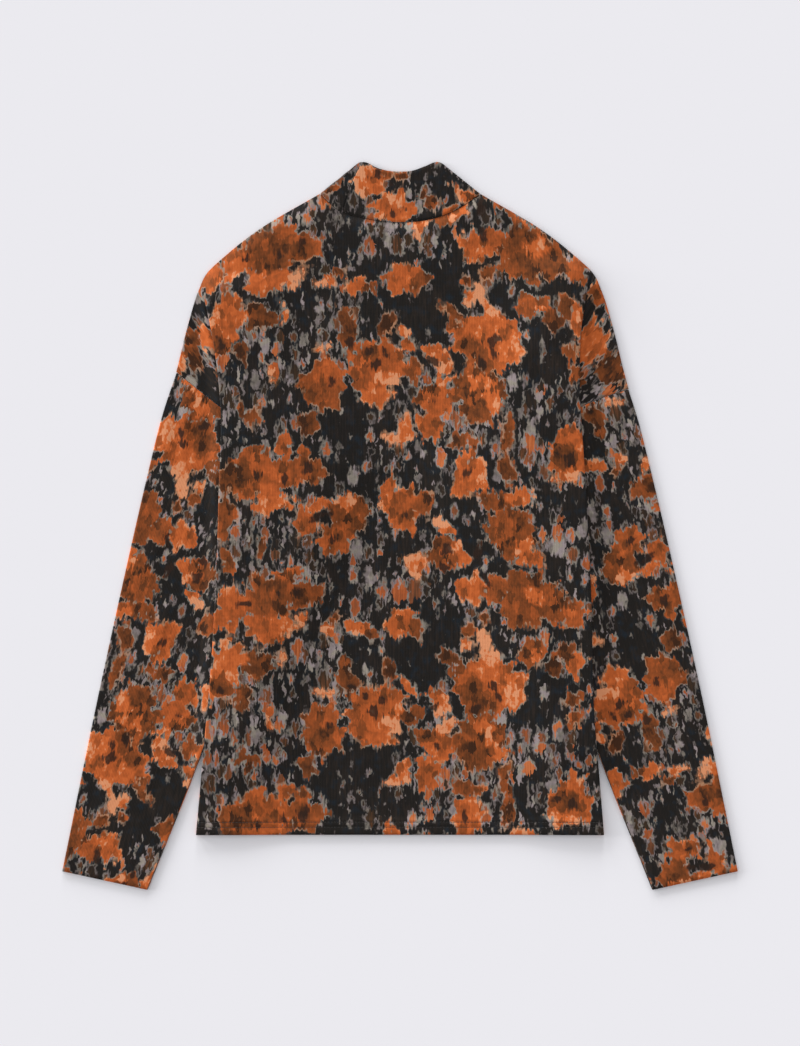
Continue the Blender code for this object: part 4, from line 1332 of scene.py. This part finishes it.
def thread_material():
    """Spun polyester thread: near black, a little glossier than the cloth."""
    material, tree, shader = new_material("polyester_thread", {"Roughness": 0.6})
    place = add(tree, "TexCoord").outputs["Object"]
    plies = add(tree, "TexWave", {"Vector": place, "Scale": 900.0}, bands_direction="DIAGONAL")
    plies = plies.outputs["Fac"]
    colour = add(tree, "Mix", (plies, linear(THREAD_DARK), linear(THREAD_PALE)), data_type="RGBA")
    tree.links.new(colour.outputs[2], shader.inputs["Base Color"])
    return material


def stitch_rows(name, height, sign, material):
    """Twin rows of short stitches; height gives the face of the cloth, sign its side."""
    corners, faces = [], []
    angles = [2 * pi * k / THREAD_SIDES for k in range(THREAD_SIDES)]
    for up in STITCH_ROWS:
        across = -HEM_ENDS
        while across + STITCH < HEM_ENDS:
            rings = []
            for share, raised, width in STITCH_SHAPE:
                x = across + STITCH * share
                y = up - CENTRE_UP
                z = height(x, up) + sign * (THREAD * THREAD_PROUD + THREAD_SINK * raised)
                reach = THREAD * width
                rings.append(range(len(corners), len(corners) + THREAD_SIDES))
                for angle in angles:
                    across_thread, over_thread = reach * cos(angle), reach * sin(angle)
                    corners.append((x * MM, (y + across_thread) * MM, (z + over_thread) * MM))
            for ring, following in zip(rings, rings[1:]):
                for k in range(THREAD_SIDES):
                    m = (k + 1) % THREAD_SIDES
                    faces.append((ring[k], ring[m], following[m], following[k]))
            faces += [tuple(rings[0][::-1]), tuple(rings[-1])]
            across += STITCH + STITCH_GAP
    mesh = bpy.data.meshes.new(name)
    mesh.from_pydata(corners, [], faces)
    mesh.shade_smooth()
    mesh.materials.append(material)
    return put(name, mesh)


thread = thread_material()
back_stitches = stitch_rows(
    "back_hem_stitches",
    lambda across, up: back_height(across, up) + CLOTH / 2 + HEM_RISE - HEM_GROOVE, 1, thread,
)
front_stitches = stitch_rows(
    "front_hem_stitches",
    lambda across, up: front_height(across, up) - CLOTH / 2 + HEM_GROOVE, -1, thread,
)
for piece in (back_stitches, front_stitches):
    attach(piece, "root")


# ==== The surface, light and camera =============================================================
# The top lies on a plain pale surface. Soft light comes from all round, and a long softbox low
# at the upper left, drawn as a row of lamps, throws a short soft shadow to the lower right.
FLOOR = "ebeaef"
FLOOR_HALF = 9.0                 # metres
FLOOR_DROP = 0.00005             # metres that it lies below the cloth
SKY = 0.60                       # share of the light on it that comes from all round
LAMP = 0.40                      # and from the softbox
LAMP_ELEVATION = 9.5             # degrees that this stands over the horizon
LAMP_TOWARDS = (0.66, -0.75)     # plan direction that its light travels
LAMP_SIZE = 16.0                 # degrees across
LAMP_TURNS = (-42.0, -14.0, 14.0, 42.0)  # degrees that the lamps stand to each side of that
CAMERA_ABOVE = 2.472             # metres
CAMERA_CENTRE = (0.0, 0.00285)   # metres across and up from the world's centre

# Matte paper-white board, without any gloss
board, _, _ = new_material(
    "pale_board", {"Base Color": linear(FLOOR), "Roughness": 1.0, "Specular IOR Level": 0.0},
)
ground = bpy.data.meshes.new("floor")
ground.from_pydata(
    [(x * FLOOR_HALF, y * FLOOR_HALF, -FLOOR_DROP) for x, y in ((-1, -1), (1, -1), (1, 1), (-1, 1))],
    [], [(0, 1, 2, 3)],
)
ground.materials.append(board)
floor = put("floor", ground)

world = bpy.data.worlds.new("studio")
bpy.context.scene.world = world
world.use_nodes = True
sky = world.node_tree.nodes["Background"]
sky.inputs["Color"].default_value = (1.0, 1.0, 1.0, 1.0)
sky.inputs["Strength"].default_value = SKY

softbox = bpy.data.lights.new("softbox", "SUN")
softbox.energy = LAMP * pi / sin(radians(LAMP_ELEVATION)) / len(LAMP_TURNS)
softbox.angle = radians(LAMP_SIZE)
towards = atan2(LAMP_TOWARDS[1], LAMP_TOWARDS[0]) - pi / 2
for i, turn in enumerate(LAMP_TURNS):
    lamp = put("softbox_" + str(i), softbox)
    lamp.rotation_euler = (radians(90 - LAMP_ELEVATION), 0.0, towards + radians(turn))

view = bpy.data.cameras.new("camera")
view.lens = 85.0
view.sensor_width = 36.0
camera = put("camera", view)
camera.location = (*CAMERA_CENTRE, CAMERA_ABOVE)
bpy.context.scene.camera = camera
bpy.context.scene.view_settings.view_transform = "Standard"
